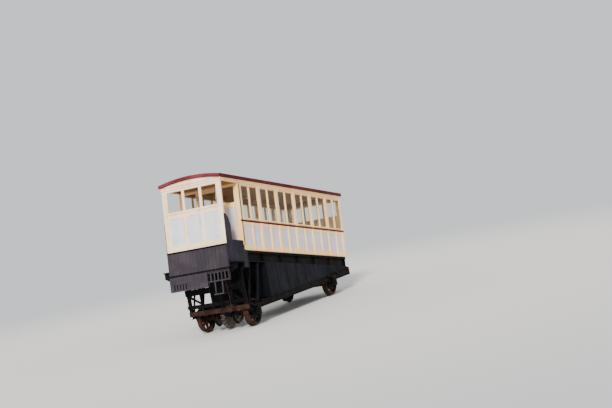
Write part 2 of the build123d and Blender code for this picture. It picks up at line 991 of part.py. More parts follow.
def leaf_spring(axle_x):
    """Stacked leaves that grow longer upwards, with a buckle on the axle box."""
    base = wheel_center + box_height
    y0 = -rail_bar_face - spring_stand - spring_width
    y1 = y0 + spring_width
    spring = block(axle_x - buckle_half, axle_x + buckle_half, y0 - buckle_side, y1 + buckle_side,
                   base, base + buckle_height)
    for leaf in range(spring_leaves):
        reach = short_leaf + (spring_half - short_leaf) * leaf / (spring_leaves - 1)
        z = base + spring_seat + leaf * spring_leaf
        rise = spring_set * (reach / spring_half) ** 2
        low = ThreePointArc((-reach, z + rise), (0, z), (reach, z + rise))
        high = ThreePointArc((reach, z + rise + spring_leaf), (0, z + spring_leaf),
                             (-reach, z + rise + spring_leaf))
        front = Line((reach, z + rise), (reach, z + rise + spring_leaf))
        back = Line((-reach, z + rise + spring_leaf), (-reach, z + rise))
        face = Plane.XZ * make_face([low, front, high, back])
        spring = spring + Pos(axle_x, y1, 0) * extrude(face, spring_width)
    return spring


# Trestle that carries the downhill end of the cabin
trestle_x = shift + lower_headstock
trestle_half = 30
trestle_plate = 22
headstock_top = headstock_low + headstock_depth
post_rows = (865, 470, 130)
post_half_outer = 45
post_half_inner = 35
trestle_beams = ((1090, 1250), (730, 830))
brace_ends = (((-860, 725), (-270, 1080)), ((450, 797), (865, 1061)))
brace_thickness = 12
brace_width = 60


def above_bolster(drop):
    """The half space above the bearers' underside, lowered by drop."""
    low = bearer_top - bearer_depth - drop
    return cabin(block(-far, far, -far, far, low, low + far))


def trestle_posts():
    posts = []
    for y in post_rows:
        half_y = post_half_outer if y == max(post_rows) else post_half_inner
        post = block(trestle_x - trestle_half, trestle_x + trestle_half, -y - half_y, -y + half_y,
                     headstock_top, sill_lift)
        posts.append(post - above_bolster(bolster_depth))
    right = together(posts)
    return together([right, mirror(right, about=Plane.XZ)])


def trestle_beam():
    """Two plates across the front of the posts."""
    front = trestle_x - trestle_half - trestle_plate
    return together([block(front, front + trestle_plate, -half_width, half_width, low, high)
                     for low, high in trestle_beams])


def trestle_braces():
    """Diagonal flats behind the posts, both leaning the same way."""
    x = trestle_x + trestle_half + brace_thickness / 2
    braces = []
    for (y0, z0), (y1, z1) in brace_ends:
        flat = Box(brace_thickness, math.hypot(y1 - y0, z1 - z0), brace_width)
        turn = Rot(math.degrees(math.atan2(z1 - z0, y1 - y0)), 0, 0)
        braces.append(Pos(x, (y0 + y1) / 2, (z0 + z1) / 2) * turn * flat)
    return together(braces)


strut_lean = 22
strut_row = 870
strut_thickness = 40
strut_feet = ((150, 90), (-300, 36))


def side_struts():
    """Slanting struts from the rail bars up to the bearers, near the lower wheels."""
    struts = []
    for foot_x, width in strut_feet:
        foot = Pos(shift + foot_x, -strut_row, rail_bar_top)
        strut = foot * Rot(0, strut_lean, 0) * Box(width, strut_thickness, 2 * sill_lift)
        strut = strut - block(-far, far, -far, far, rail_bar_top - far, rail_bar_top)
        struts.append(strut - above_bolster(0))
    right = together(struts)
    return together([right, mirror(right, about=Plane.XZ)])


# Water tank
tank_side = 912
tank_flange = 8
tank_rib_pitch = 560
tank_rib_half = 22
tank_edge = 60


def water_tank():
    """A wedge that fills the space between the rail bars and the cabin bearers."""
    x0 = shift + tank_front
    x1 = shift + tank_rear
    outer = tank_side + tank_flange
    body = block(x0, x1, -tank_side, tank_side, rail_bar_top, sill_lift)
    body = body + block(x0, x1, -outer, outer, rail_bar_top, rail_bar_top + tank_edge)
    ribs = int((tank_rear - tank_front) / tank_rib_pitch)
    for index in range(ribs + 1):
        x = x0 + tank_rib_half + index * (x1 - x0 - 2 * tank_rib_half) / ribs
        body = body + block(x - tank_rib_half, x + tank_rib_half, -outer, outer, rail_bar_top, sill_lift)
    return body - above_bolster(0)


def side_cheek():
    """The plate that closes the right side between the tank and the upper headstock."""
    face = -rail_bar_face
    x1 = shift + upper_headstock - headstock_width / 2
    plate = block(shift + tank_rear, x1, face, face + rail_bar_plate, rail_bar_top, sill_lift)
    return plate - above_bolster(0)


outlet_y = -380
outlet_z = 980
outlet_reach = 150
outlet_radius = 75
funnel_x = -60
funnel_drop = 20
funnel_mouth = 60
funnel_head = 150
funnel_height = 300
elbow_radius = 100


def tank_outlet():
    """The funnel and pipe that let the water out behind the trestle."""
    flange = Pos(shift + tank_front - outlet_reach, outlet_y, outlet_z)
    pipe = Pos(outlet_reach / 2, 0, 0) * Rot(0, 90, 0) * Cylinder(outlet_radius, outlet_reach)
    funnel = Pos(funnel_x, 0, -funnel_drop) * Cone(funnel_mouth, funnel_head, funnel_height)
    elbow = Pos(funnel_x, 0, funnel_drop) * Sphere(elbow_radius)
    return flange * (pipe + elbow + funnel)


# Rope anchorage at the uphill end
anchor_z = 560
anchor_plate = 20
anchor_plate_half = 150
anchor_plate_rise = 75
anchor_bore = 26
anchor_ear = 24
anchor_ear_radius = 55
anchor_gap = 70
anchor_reach = 170


def rope_anchor():
    """A clevis on the upper headstock for the haulage rope's socket."""
    x0 = shift + upper_headstock + headstock_width / 2
    x1 = x0 + anchor_plate
    tip_x = x0 + anchor_reach - anchor_ear_radius
    low, high = anchor_z - anchor_ear_radius, anchor_z + anchor_ear_radius
    clevis = block(x0, x1, -anchor_plate_half, anchor_plate_half, anchor_z - anchor_plate_rise,
                   anchor_z + anchor_plate_rise)
    for side in (-1, 1):
        y = side * (anchor_gap + anchor_ear) / 2
        tip = Pos(tip_x, y, anchor_z) * Rot(90, 0, 0)
        ear = block(x1, tip_x, y - anchor_ear / 2, y + anchor_ear / 2, low, high)
        ear = ear + tip * Cylinder(anchor_ear_radius, anchor_ear)
        clevis = clevis + (ear - tip * Cylinder(anchor_bore, anchor_ear))
    return clevis


# Wheelsets
tyre_set_in = 5
flange_chamfer = 8
flange_crest = (10, 20)
tread_fall = 5
spoke_root = 78
spoke_tip = 48
spoke_width = 44
spoke_overlap = 15


def tyre_profile(back, side):
    """Section of a tyre from its back face outwards, with a flange and a coned tread."""
    inner_rim = wheel_radius - tyre_depth
    tip = wheel_radius + flange_height
    crest = [(out, tip) for out in flange_crest]
    points = [(0, inner_rim), (0, tip - flange_chamfer)] + crest
    points += [(flange_width, wheel_radius + tread_fall), (tyre_width, wheel_radius - tread_fall),
               (tyre_width, inner_rim)]
    return Plane.YZ * make_face(Polyline(*[(back + side * out, z) for out, z in points], close=True))


def wheel(side):
    """A spoked wheel with a flanged tyre; its back faces the middle of the car."""
    back = side * (tread_distance / 2 - tyre_width / 2 - tyre_set_in)
    middle = back + side * tyre_width / 2
    total = revolve(tyre_profile(back, side), Axis.Y)
    total = total + Pos(0, middle, 0) * Rot(90, 0, 0) * Cylinder(wheel_hub_radius, wheel_hub_width)
    start = wheel_hub_radius - spoke_overlap
    end = wheel_radius - tyre_depth + spoke_overlap / 2
    outline = Polyline((-spoke_root / 2, start), (spoke_root / 2, start), (spoke_tip / 2, end),
                       (-spoke_tip / 2, end), close=True)
    spoke = Pos(0, middle + spoke_width / 2, 0) * extrude(Plane.XZ * make_face(outline), spoke_width)
    for index in range(spoke_count):
        total = total + Rot(0, 360 / spoke_count * index, 0) * spoke
    bore = Pos(0, middle, 0) * Rot(90, 0, 0) * Cylinder(axle_radius, wheel_hub_width)
    return total - bore


def wheels(axle_x):
    """The two wheels of one axle."""
    return Pos(axle_x, 0, wheel_center) * together([wheel(-1), wheel(1)])


journal_end_gap = 4


def axle_shaft(axle_x):
    """An axle, stepped down to its journals."""
    seat = tread_distance + wheel_hub_width
    journal = 2 * (box_outer - box_end_wall - journal_end_gap)
    shaft = Cylinder(axle_radius, seat) + Cylinder(journal_radius, journal)
    return Pos(axle_x, 0, wheel_center) * Rot(90, 0, 0) * shaft


# Rack pinion: its pitch circle is as long as the rack's pitch times its teeth
pinion_pitch_radius = rack_pitch * pinion_teeth / (2 * math.pi)
pinion_addendum = 22
pinion_dedendum = 30
pinion_web = 90
pinion_hub_radius = 120
pinion_ring = 50
tooth_half_root = 0.31
tooth_half_pitch = 0.24
tooth_half_tip = 0.12


def rack_pinion():
    """The toothed wheel in the middle of the lower axle, which runs in the rack."""
    tip = pinion_pitch_radius + pinion_addendum
    root = pinion_pitch_radius - pinion_dedendum
    flank = ((root, tooth_half_root), (pinion_pitch_radius, tooth_half_pitch), (tip, tooth_half_tip))
    tooth = [(radius, -half) for radius, half in flank] + [(radius, half) for radius, half in flank[::-1]]
    step = 2 * math.pi / pinion_teeth
    outline = []
    for index in range(pinion_teeth):
        for radius, share in tooth:
            angle = (index + share) * step
            outline.append((radius * math.cos(angle), radius * math.sin(angle)))
    gear = extrude(Plane.XZ * make_face(Polyline(*outline, close=True)), pinion_width)
    gear = Pos(0, pinion_width / 2, 0) * gear
    depth = (pinion_width - pinion_web) / 2
    pocket = Cylinder(root - pinion_ring, depth) - Cylinder(pinion_hub_radius, depth)
    for side in (-1, 1):
        gear = gear - Pos(0, side * (pinion_width - depth) / 2, 0) * Rot(90, 0, 0) * pocket
    bore = Rot(90, 0, 0) * Cylinder(axle_radius, pinion_width)
    return Pos(lower_axle, 0, wheel_center) * (gear - bore)


drum_rim = 30
drum_hub = 40
drum_pocket = 31


def brake_drums():
    """Two drums on the lower axle, one each side of the pinion."""
    drum = Cylinder(drum_radius, drum_width) - Cylinder(axle_radius, drum_width)
    pocket = Cylinder(drum_radius - drum_rim, drum_pocket)
    pocket = pocket - Cylinder(axle_radius + drum_hub, drum_pocket)
    for end in (-1, 1):
        drum = drum - Pos(0, 0, end * (drum_width - drum_pocket) / 2) * pocket
    drums = []
    for side in (-1, 1):
        drums.append(Pos(lower_axle, side * drum_offset, wheel_center) * Rot(90, 0, 0) * drum)
    return together(drums)


band_gap = 6
band_thickness = 28
band_narrower = 20
band_mouth = 60
band_arm = 60
band_arm_depth = 40


def brake_bands():
    """Half bands over the drums, hung from the lower headstock."""
    inner = drum_radius + band_gap
    outer = inner + band_thickness
    width = drum_width - band_narrower
    arm_rise = headstock_low + band_arm_depth / 2 - wheel_center
    arm_end = lower_axle - math.sqrt(((inner + outer) / 2) ** 2 - arm_rise ** 2)
    bands = []
    for side in (-1, 1):
        y = side * drum_offset
        ring = Cylinder(outer, width) - Cylinder(inner, width)
        band = Pos(lower_axle, y, wheel_center) * Rot(90, 0, 0) * ring
        band = band - block(lower_axle - band_mouth, lower_axle + far, -far, far, -far, far)
        arm = block(trestle_x + headstock_width / 2, arm_end, y - band_arm / 2, y + band_arm / 2,
                    headstock_low, headstock_low + band_arm_depth)
        bands.append(band + arm)
    return together(bands)


# Write every sub-part
right_left = (("right", False), ("left", True))


def pair(name, maker, inside=True):
    """The right-hand piece and its mirrored twin, as two nodes."""
    right = maker()
    for side, mirrored in right_left:
        shape = mirror(right, about=Plane.XZ) if mirrored else right
        keep(f"{name}_{side}", cabin(shape) if inside else shape)


keep("roof_shell", cabin(roof_shell()))
keep("roof_edge", cabin(roof_edge()))
keep("cornice", cabin(cornice()))
keep("roof_ribs", cabin(roof_ribs()))
keep("ceiling_slats", cabin(ceiling_slats()))
pair("side_wall", side_wall)
keep("window_glass", cabin(window_glass()))
keep("belt_mouldings", cabin(both_sides(belt_moulding())))
keep("bulkhead_lower", cabin(bulkhead(-corner_lead, True)))
keep("bulkhead_upper", cabin(bulkhead(cabin_back - wall, False)))
keep("cabin_door", cabin(cabin_door()))
keep("door_glass", cabin(door_glass()))
keep("door_panel", cabin(door_panel()))
keep("door_hinge_pins", cabin(door_hinge_pins()))
keep("corner_posts", cabin(corner_posts()))
keep("dash_panel", cabin(dash_panel()))
keep("end_screen", cabin(end_screen()))
keep("body_panels", cabin(body_panels()))
keep("end_skirt", cabin(end_skirt()))
keep("side_skirts", cabin(both_sides(side_skirt())))
keep("front_beam", cabin(front_beam()))
keep("side_steps", cabin(side_steps()))
pair("bearer", bearer)
keep("floor_beams", cabin(floor_beams()))
keep("cross_girders", cabin(cross_girders()))
keep("cabin_floor", cabin(cabin_floor()))
keep("bench_slats", cabin(bench_slats()))
keep("bench_frames", cabin(bench_frames()))
keep("brake_column", cabin(brake_column()))
keep("brake_wheel", cabin(brake_wheel()))
keep("grab_rails", cabin(grab_rails()))
pair("rail_bar", rail_bar, inside=False)
keep("headstock_lower", headstock(shift + lower_headstock, headstock_low, headstock_top))
keep("headstock_upper", headstock(shift + upper_headstock, rail_bar_bottom, sill_lift) - above_bolster(0))
keep("cross_members", cross_members())
keep("axle_guards", at_each_wheel(axle_guard))
keep("axle_boxes", at_each_wheel(axle_box))
keep("leaf_springs", at_each_wheel(leaf_spring))
keep("trestle_posts", trestle_posts())
keep("trestle_beam", trestle_beam())
keep("trestle_braces", trestle_braces())
keep("side_struts", side_struts())
keep("water_tank", water_tank())
keep("side_cheeks", both_sides(side_cheek()))
keep("tank_outlet", tank_outlet())
keep("rope_anchor", rope_anchor())
keep("axle_shaft_lower", axle_shaft(lower_axle))
keep("axle_shaft_upper", axle_shaft(upper_axle))
keep("wheels_lower", wheels(lower_axle))
keep("wheels_upper", wheels(upper_axle))
keep("rack_pinion", rack_pinion())
keep("brake_drums", brake_drums())
keep("brake_bands", brake_bands())

whole = Compound(children=list(built.values())).bounding_box()
print("parts", len(built), "box", whole.min, whole.max)
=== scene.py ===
# %% [markdown]
# A funicular car, dressed over its CAD model.
# The car has a panelled wooden cabin on a wedge-shaped steel underframe, so that its floor lies flatter
# than the rails. The CAD model holds every solid at its real size. This script gives each of them its
# finish and adds what is too small for the CAD: rivets, bolts, beads, boards and laps.

# %% Load the car
import json
import math

import bmesh
import bpy
from mathutils import Matrix, Vector


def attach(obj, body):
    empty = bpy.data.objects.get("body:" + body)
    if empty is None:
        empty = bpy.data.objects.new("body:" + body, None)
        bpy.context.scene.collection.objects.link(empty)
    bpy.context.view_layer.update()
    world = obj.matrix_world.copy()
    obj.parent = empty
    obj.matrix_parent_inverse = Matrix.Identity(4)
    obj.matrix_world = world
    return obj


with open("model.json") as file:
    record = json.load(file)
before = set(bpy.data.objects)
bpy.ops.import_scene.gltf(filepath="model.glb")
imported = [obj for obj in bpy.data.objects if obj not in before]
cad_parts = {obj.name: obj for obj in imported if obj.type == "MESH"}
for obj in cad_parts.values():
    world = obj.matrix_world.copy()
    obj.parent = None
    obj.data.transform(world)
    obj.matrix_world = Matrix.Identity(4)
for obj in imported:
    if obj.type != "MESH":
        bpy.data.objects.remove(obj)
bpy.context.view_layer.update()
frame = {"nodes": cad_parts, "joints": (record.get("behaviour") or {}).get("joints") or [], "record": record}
nodes = frame["nodes"]
slot_of = {part["node"]: part["material_slot"] for part in frame["record"]["subparts"]}

# %% [markdown]
# The cabin stands at an angle to the rails, so everything on it is easier to place in axes of its own:
# h runs along the floor, uphill, y runs across, and u stands square to the floor.
# They could be typed in as an angle, but the door's hinge already points along u, so the tilt is read
# from the hinge. The axes start above the lower axle, at the foot of the cabin's side walls. Pieces of the
# underframe are placed from the lower axle instead, along the rails.

# %% Cabin axes
joints = {joint["name"]: joint for joint in frame["joints"]}
cabin_up = -Vector(joints["door_hinge"]["axis"])
cabin_tilt = math.atan2(cabin_up.x, cabin_up.z)
lower_axle = Vector(joints["lower_axle_spin"]["pos_m"])
upper_axle = Vector(joints["upper_axle_spin"]["pos_m"])
wheelbase = upper_axle.x - lower_axle.x
sill_height = 2.035
to_car = Matrix.Translation((lower_axle.x, 0, sill_height)) @ Matrix.Rotation(cabin_tilt, 4, "Y")


def at(h, y, u):
    """A point given in the cabin's axes, in the car's frame."""
    return to_car @ Vector((h, y, u))


def cabin_way(h, y, u):
    """A direction given in the cabin's axes."""
    return to_car.to_3x3() @ Vector((h, y, u))


def past_axle(x, y, z):
    """A point given from the lower axle along the rails."""
    return Vector((lower_axle.x + x, y, z))


upwards, outwards = cabin_way(0, 0, 1), cabin_way(-1, 0, 0)
uphill, downhill = Vector((1, 0, 0)), Vector((-1, 0, 0))
leftwards, rightwards = Vector((0, 1, 0)), Vector((0, -1, 0))
print("cabin tilt", round(math.degrees(cabin_tilt), 2), "degrees, wheelbase", wheelbase)

# %% [markdown]
# The photograph was taken from far off with a long lens, below the roof and slightly tipped over,
# so the rails seem to climb to the right. A camera for it could be set by eye. Here its place and
# angles come from matching corners of the car: window posts, sill, roof and wheels.

# %% Camera
picture_width = 612
focal_pixels = 1228.07
view_azimuth = math.radians(62.856)
view_elevation = math.radians(-0.768)
view_roll = math.radians(-11.511)
camera_place = Vector((lower_axle.x - 28.176, -17.398, 3.346))


def camera_matrix():
    """The camera's place and turn: it looks along its own -Z, with Y up."""
    ahead = Vector((math.sin(view_azimuth) * math.cos(view_elevation),
                    math.cos(view_azimuth) * math.cos(view_elevation),
                    math.sin(view_elevation)))
    level = Vector((math.cos(view_azimuth), -math.sin(view_azimuth), 0))
    upright = level.cross(ahead)
    right = math.cos(view_roll) * level + math.sin(view_roll) * upright
    top = math.cos(view_roll) * upright - math.sin(view_roll) * level
    turn = Matrix((right, top, -ahead)).transposed().to_4x4()
    return Matrix.Translation(camera_place) @ turn


lens = bpy.data.cameras.new("camera")
lens.sensor_width = 36
lens.lens = focal_pixels / picture_width * lens.sensor_width
lens.clip_end = 1000
camera = bpy.data.objects.new("camera", lens)
camera.matrix_world = camera_matrix()
bpy.context.scene.collection.objects.link(camera)
bpy.context.scene.camera = camera
print("lens", round(lens.lens, 1), "mm")

# %% [markdown]
# Materials are built from nodes. Small helpers keep that short: one fills the sockets of a node, others
# make the few nodes that come back all the time, and shade() turns a colour as seen on a screen into the
# linear values that Blender works in.

# %% Node helpers
COLOR, FLOAT, VECTOR = "NodeSocketColor", "NodeSocketFloat", "NodeSocketVector"


def shade(red, green, blue):
    """A colour as seen on a screen, from 0 to 255, in linear values with full alpha."""
    def linear(value):
        part = value / 255
        return part / 12.92 if part <= 0.04045 else ((part + 0.055) / 1.055) ** 2.4
    return (linear(red), linear(green), linear(blue), 1)


def feed(tree, node, links):
    """Fills a node's sockets; links are pairs of socket and the value or output that it takes."""
    for socket, value in links:
        if isinstance(value, bpy.types.NodeSocket):
            tree.links.new(value, node.inputs[socket])
        else:
            node.inputs[socket].default_value = value


def add_node(tree, kind, links=(), **settings):
    """A new node; settings are its properties, and links fill its sockets."""
    node = tree.nodes.new(kind)
    for key, value in settings.items():
        setattr(node, key, value)
    feed(tree, node, links)
    return node


def mixed(tree, factor, first, second):
    """Mixes two colours by a factor and returns the colour."""
    return add_node(tree, "ShaderNodeMix", data_type="RGBA",
                    links=((0, factor), (6, first), (7, second))).outputs[2]


def math_step(tree, operation, first, second=0.0):
    """One sum on two numbers."""
    return add_node(tree, "ShaderNodeMath", operation=operation, links=((0, first), (1, second))).outputs[0]


def times(tree, first, second):
    """Two numbers multiplied, which is also how two masks are joined."""
    return math_step(tree, "MULTIPLY", first, second)


def agreement(tree, first, second):
    """How far two directions agree: 1 where they are the same, 0 where they are square."""
    return add_node(tree, "ShaderNodeVectorMath", operation="DOT_PRODUCT",
                    links=((0, first), (1, second))).outputs["Value"]


def band(tree, value, low, high, from_value=0.0, to_value=1.0):
    """A number that climbs smoothly while value goes from low to high."""
    return add_node(tree, "ShaderNodeMapRange", interpolation_type="SMOOTHSTEP",
                    links=((0, value), (1, low), (2, high), (3, from_value), (4, to_value))).outputs[0]


def noise(tree, vector, scale, detail=3.0, roughness=0.55):
    """Plain noise from 0 to 1."""
    return add_node(tree, "ShaderNodeTexNoise",
                    links=(("Vector", vector), ("Scale", scale), ("Detail", detail),
                           ("Roughness", roughness))).outputs[0]


def stretched(tree, vector, scale):
    """The same place with each axis scaled on its own."""
    return add_node(tree, "ShaderNodeVectorMath", operation="MULTIPLY",
                    links=((0, vector), (1, scale))).outputs[0]


def new_group(name, inputs, outputs):
    """A shader node group with its sockets, and its two end nodes."""
    tree = bpy.data.node_groups.new(name, "ShaderNodeTree")
    for label, kind, value in inputs:
        socket = tree.interface.new_socket(label, in_out="INPUT", socket_type=kind)
        if value is not None:
            socket.default_value = value
    for label, kind in outputs:
        tree.interface.new_socket(label, in_out="OUTPUT", socket_type=kind)
    return tree, tree.nodes.new("NodeGroupInput").outputs, tree.nodes.new("NodeGroupOutput")


print("red paint as seen on a screen is", [round(part, 3) for part in shade(180, 40, 30)], "in linear values")

# %% [markdown]
# Old oil paint on a car that lives outdoors does three things: it fades in soft clouds, it collects
# grime that rain drags down in streaks, and it keeps faint brush marks. One group gives all three, and
# each painted material sets its own colours and amounts.

# %% Weathered paint group


def make_weathered_paint():
    """Clouds of fading, rain streaks, speckles and brush marks."""
    tree, given, result = new_group(
        "weathered_paint",
        (("Vector", VECTOR, None), ("Paint", COLOR, None), ("Faded", COLOR, None), ("Grime", COLOR, None),
         ("Grime Amount", FLOAT, 0.4), ("Roughness", FLOAT, 0.45)),
        (("Color", COLOR), ("Roughness", FLOAT), ("Height", FLOAT)))
    place = given["Vector"]
    clouds = noise(tree, place, 1.6, detail=5.0)
    faded = mixed(tree, band(tree, clouds, 0.38, 0.68), given["Paint"], given["Faded"])
    streaks = noise(tree, stretched(tree, place, (9, 9, 0.9)), 1.0, detail=4.0)
    blotches = noise(tree, place, 4.5, detail=5.0, roughness=0.65)
    dirt = times(tree, band(tree, streaks, 0.48, 0.72), band(tree, blotches, 0.3, 0.75))
    color = mixed(tree, times(tree, dirt, given["Grime Amount"]), faded, given["Grime"])
    speckle = noise(tree, place, 60.0, detail=2.0)
    color = mixed(tree, band(tree, speckle, 0.62, 0.8, 0.0, 0.12), color, given["Grime"])
    rough = math_step(tree, "ADD", given["Roughness"], band(tree, blotches, 0.3, 0.8, -0.06, 0.14))
    brushed = noise(tree, stretched(tree, place, (40, 40, 5)), 1.0, detail=2.0)
    feed(tree, result, (("Color", color), ("Roughness", rough), ("Height", times(tree, brushed, 0.6))))
    return tree


weathered_paint = make_weathered_paint()
print("group", weathered_paint.name, "with", len(weathered_paint.nodes), "nodes")

# %% [markdown]
# Paint goes first at the corners, where hands, boots and branches rub it. The Bevel node tells how far
# the surface turns within a few millimetres: on a flat face it agrees with the true normal, near an edge
# it doesn't. That difference, broken up by noise, is the mask of worn edges.

# %% Worn edges group


def make_worn_edges():
    """A mask of the edges within a radius, broken up into patches."""
    tree, given, result = new_group(
        "worn_edges",
        (("Vector", VECTOR, None), ("Radius", FLOAT, 0.006), ("Breakup", FLOAT, 14.0),
         ("Amount", FLOAT, 0.8)),
        (("Mask", FLOAT),))
    turned = add_node(tree, "ShaderNodeBevel", samples=4, links=(("Radius", given["Radius"]),)).outputs[0]
    true_side = tree.nodes.new("ShaderNodeNewGeometry").outputs["True Normal"]
    edge = band(tree, agreement(tree, turned, true_side), 0.995, 0.93)
    patches = noise(tree, given["Vector"], given["Breakup"], detail=5.0, roughness=0.7)
    worn = times(tree, edge, band(tree, patches, 0.42, 0.62))
    feed(tree, result, (("Mask", times(tree, worn, given["Amount"])),))
    return tree


worn_edges = make_worn_edges()
print("group", worn_edges.name, "with", len(worn_edges.nodes), "nodes")

# %% [markdown]
# Rust on the running gear is not one brown: it goes from dark scale to bright orange powder in the
# hollows, and it is rough like fine sand. The group mixes three browns by noise at three sizes and gives
# a height for the bump, so wheels, drums and the worn edges of black paint share it in different amounts.

# %% Rust group


def make_rusting():
    """Rust over bare metal: its colour, how rough and how metallic it is, and its height."""
    tree, given, result = new_group(
        "rusting",
        (("Vector", VECTOR, None), ("Metal", COLOR, None), ("Amount", FLOAT, 0.8), ("Scale", FLOAT, 1.0)),
        (("Color", COLOR), ("Roughness", FLOAT), ("Metallic", FLOAT), ("Height", FLOAT)))
    place = add_node(tree, "ShaderNodeVectorMath", operation="SCALE",
                     links=((0, given["Vector"]), ("Scale", given["Scale"]))).outputs[0]
    wide = noise(tree, place, 5.0, detail=5.0, roughness=0.6)
    middle = noise(tree, place, 22.0, detail=5.0, roughness=0.7)
    grain = noise(tree, place, 160.0, detail=3.0)
    scale_brown = shade(24, 17, 15)
    red_brown = shade(60, 36, 27)
    orange = shade(124, 77, 53)
    color = mixed(tree, band(tree, wide, 0.38, 0.66), scale_brown, red_brown)
    color = mixed(tree, band(tree, middle, 0.54, 0.8), color, orange)
    color = mixed(tree, band(tree, grain, 0.3, 0.7, 0.0, 0.25), color, scale_brown)
    spread = math_step(tree, "ADD", given["Amount"], band(tree, middle, 0.25, 0.75, -0.5, 0.5))
    rust_from, rust_full = 0.35, 0.65
    mask = band(tree, spread, rust_from, rust_full)
    height = math_step(tree, "ADD", times(tree, grain, 0.4), middle)
    feed(tree, result, (("Color", mixed(tree, mask, given["Metal"], color)),
                        ("Roughness", band(tree, spread, rust_from, rust_full, 0.42, 0.88)),
                        ("Metallic", band(tree, spread, rust_from, rust_full, 0.85, 0.05)),
                        ("Height", times(tree, height, mask))))
    return tree


rusting = make_rusting()
print("group", rusting.name, "with", len(rusting.nodes), "nodes")

# %% [markdown]
# Varnished slats and floor boards show long grain: noise stretched along the board, with a finer pore
# pattern in it. The group takes the two browns, and how long the grain is comes from the vector that
# each material hands in.

# %% Wood grain group


def make_wood_grain():
    """Long rings and fine pores along X, with patches that are rubbed light."""
    tree, given, result = new_group(
        "wood_grain",
        (("Vector", VECTOR, None), ("Light", COLOR, None), ("Dark", COLOR, None), ("Wear", FLOAT, 0.3)),
        (("Color", COLOR), ("Roughness", FLOAT), ("Height", FLOAT)))
    rings = noise(tree, stretched(tree, given["Vector"], (1.2, 26, 26)), 1.0, detail=6.0, roughness=0.6)
    pores = noise(tree, stretched(tree, given["Vector"], (9, 240, 240)), 1.0, detail=2.0)
    color = mixed(tree, band(tree, rings, 0.32, 0.68), given["Dark"], given["Light"])
    color = mixed(tree, band(tree, pores, 0.55, 0.8, 0.0, 0.45), color, given["Dark"])
    patches = noise(tree, given["Vector"], 2.2, detail=4.0)
    rubbed = times(tree, band(tree, patches, 0.45, 0.7), given["Wear"])
    feed(tree, result, (("Color", mixed(tree, rubbed, color, given["Light"])),
                        ("Roughness", band(tree, rings, 0.3, 0.7, 0.42, 0.62)),
                        ("Height", math_step(tree, "ADD", rings, times(tree, pores, 0.5)))))
    return tree


wood_grain = make_wood_grain()
print("group", wood_grain.name, "with", len(wood_grain.nodes), "nodes")

# %% [markdown]
# Each finish is one material. Patterns read Object coordinates. Pieces of the cabin have them turned
# into the cabin's own axes first, so that grain follows the boards and streaks run down the walls.

# %% Material helpers
finishes = {}


def new_finish(name):
    """A new material in the list of finishes: its tree, its Principled shader and its place vector."""
    finishes[name] = bpy.data.materials.new(name)
    finishes[name].use_nodes = True
    tree = finishes[name].node_tree
    return tree, tree.nodes["Principled BSDF"], tree.nodes.new("ShaderNodeTexCoord").outputs["Object"]


def in_cabin_axes(tree, place):
    """Object coordinates turned into the cabin's axes."""
    return add_node(tree, "ShaderNodeMapping", vector_type="POINT",
                    links=(("Vector", place), ("Location", to_car.inverted().translation),
                           ("Rotation", (0, -cabin_tilt, 0)))).outputs[0]


def use_group(tree, group, links):
    """Places a node group in a material."""
    return add_node(tree, "ShaderNodeGroup", node_tree=group, links=links).outputs


def add_bump(tree, surface, height, strength, distance, radius):
    """Feeds a height, over softly rounded edges, to the shader's normal."""
    soft = add_node(tree, "ShaderNodeBevel", samples=4, links=(("Radius", radius),)).outputs[0]
    bump = add_node(tree, "ShaderNodeBump", links=(("Height", height), ("Strength", strength),
                                                   ("Distance", distance), ("Normal", soft))).outputs[0]
    feed(tree, surface, (("Normal", bump),))


def sunlit_end_faces(tree, vector):
    """A mask of the faces of the cabin's outer end, which get painted sunlight; their own normals look down
    along the floor.
    """
    face = tree.nodes.new("ShaderNodeTexCoord").outputs["Normal"]
    along = add_node(tree, "ShaderNodeSeparateXYZ", links=((0, vector),)).outputs["X"]
    return times(tree, band(tree, agreement(tree, face, outwards), 0.75, 0.9),
                 band(tree, along, -0.86, -0.80, 1.0, 0.0))


def painted(name, paint, faded, grime, under, roughness=0.42, grime_amount=0.5, wear=0.7, gloss=0.35,
            sunlit_end_tint=None, on_cabin=True, rust_under=False):
    """Oil paint with faded clouds, rain streaks and worn edges that show what is under it, and painted
    sunlight on the downhill end where an end tint is given.
    """
    tree, surface, place = new_finish(name)
    vector = in_cabin_axes(tree, place) if on_cabin else place
    # Painted sunlight: faces of the downhill end are mixed towards a lighter colour, for the sun on that end.
    if sunlit_end_tint:
        sunlit_share = sunlit_end_faces(tree, vector)
        paint = mixed(tree, times(tree, sunlit_share, 0.5), paint, sunlit_end_tint)
        faded = mixed(tree, sunlit_share, faded, sunlit_end_tint)
    coat = use_group(tree, weathered_paint,
                     (("Vector", vector), ("Paint", paint), ("Faded", faded), ("Grime", grime),
                      ("Grime Amount", grime_amount), ("Roughness", roughness)))
    edges = use_group(tree, worn_edges, (("Vector", vector), ("Amount", wear)))
    if rust_under:
        under = use_group(tree, rusting, (("Vector", place), ("Metal", under), ("Amount", 0.9)))["Color"]
    feed(tree, surface, (("Base Color", mixed(tree, edges["Mask"], coat["Color"], under)),
                         ("Roughness", coat["Roughness"]), ("Specular IOR Level", gloss)))
    add_bump(tree, surface, coat["Height"], strength=0.25, distance=0.0015, radius=0.004)


print("material helpers ready")
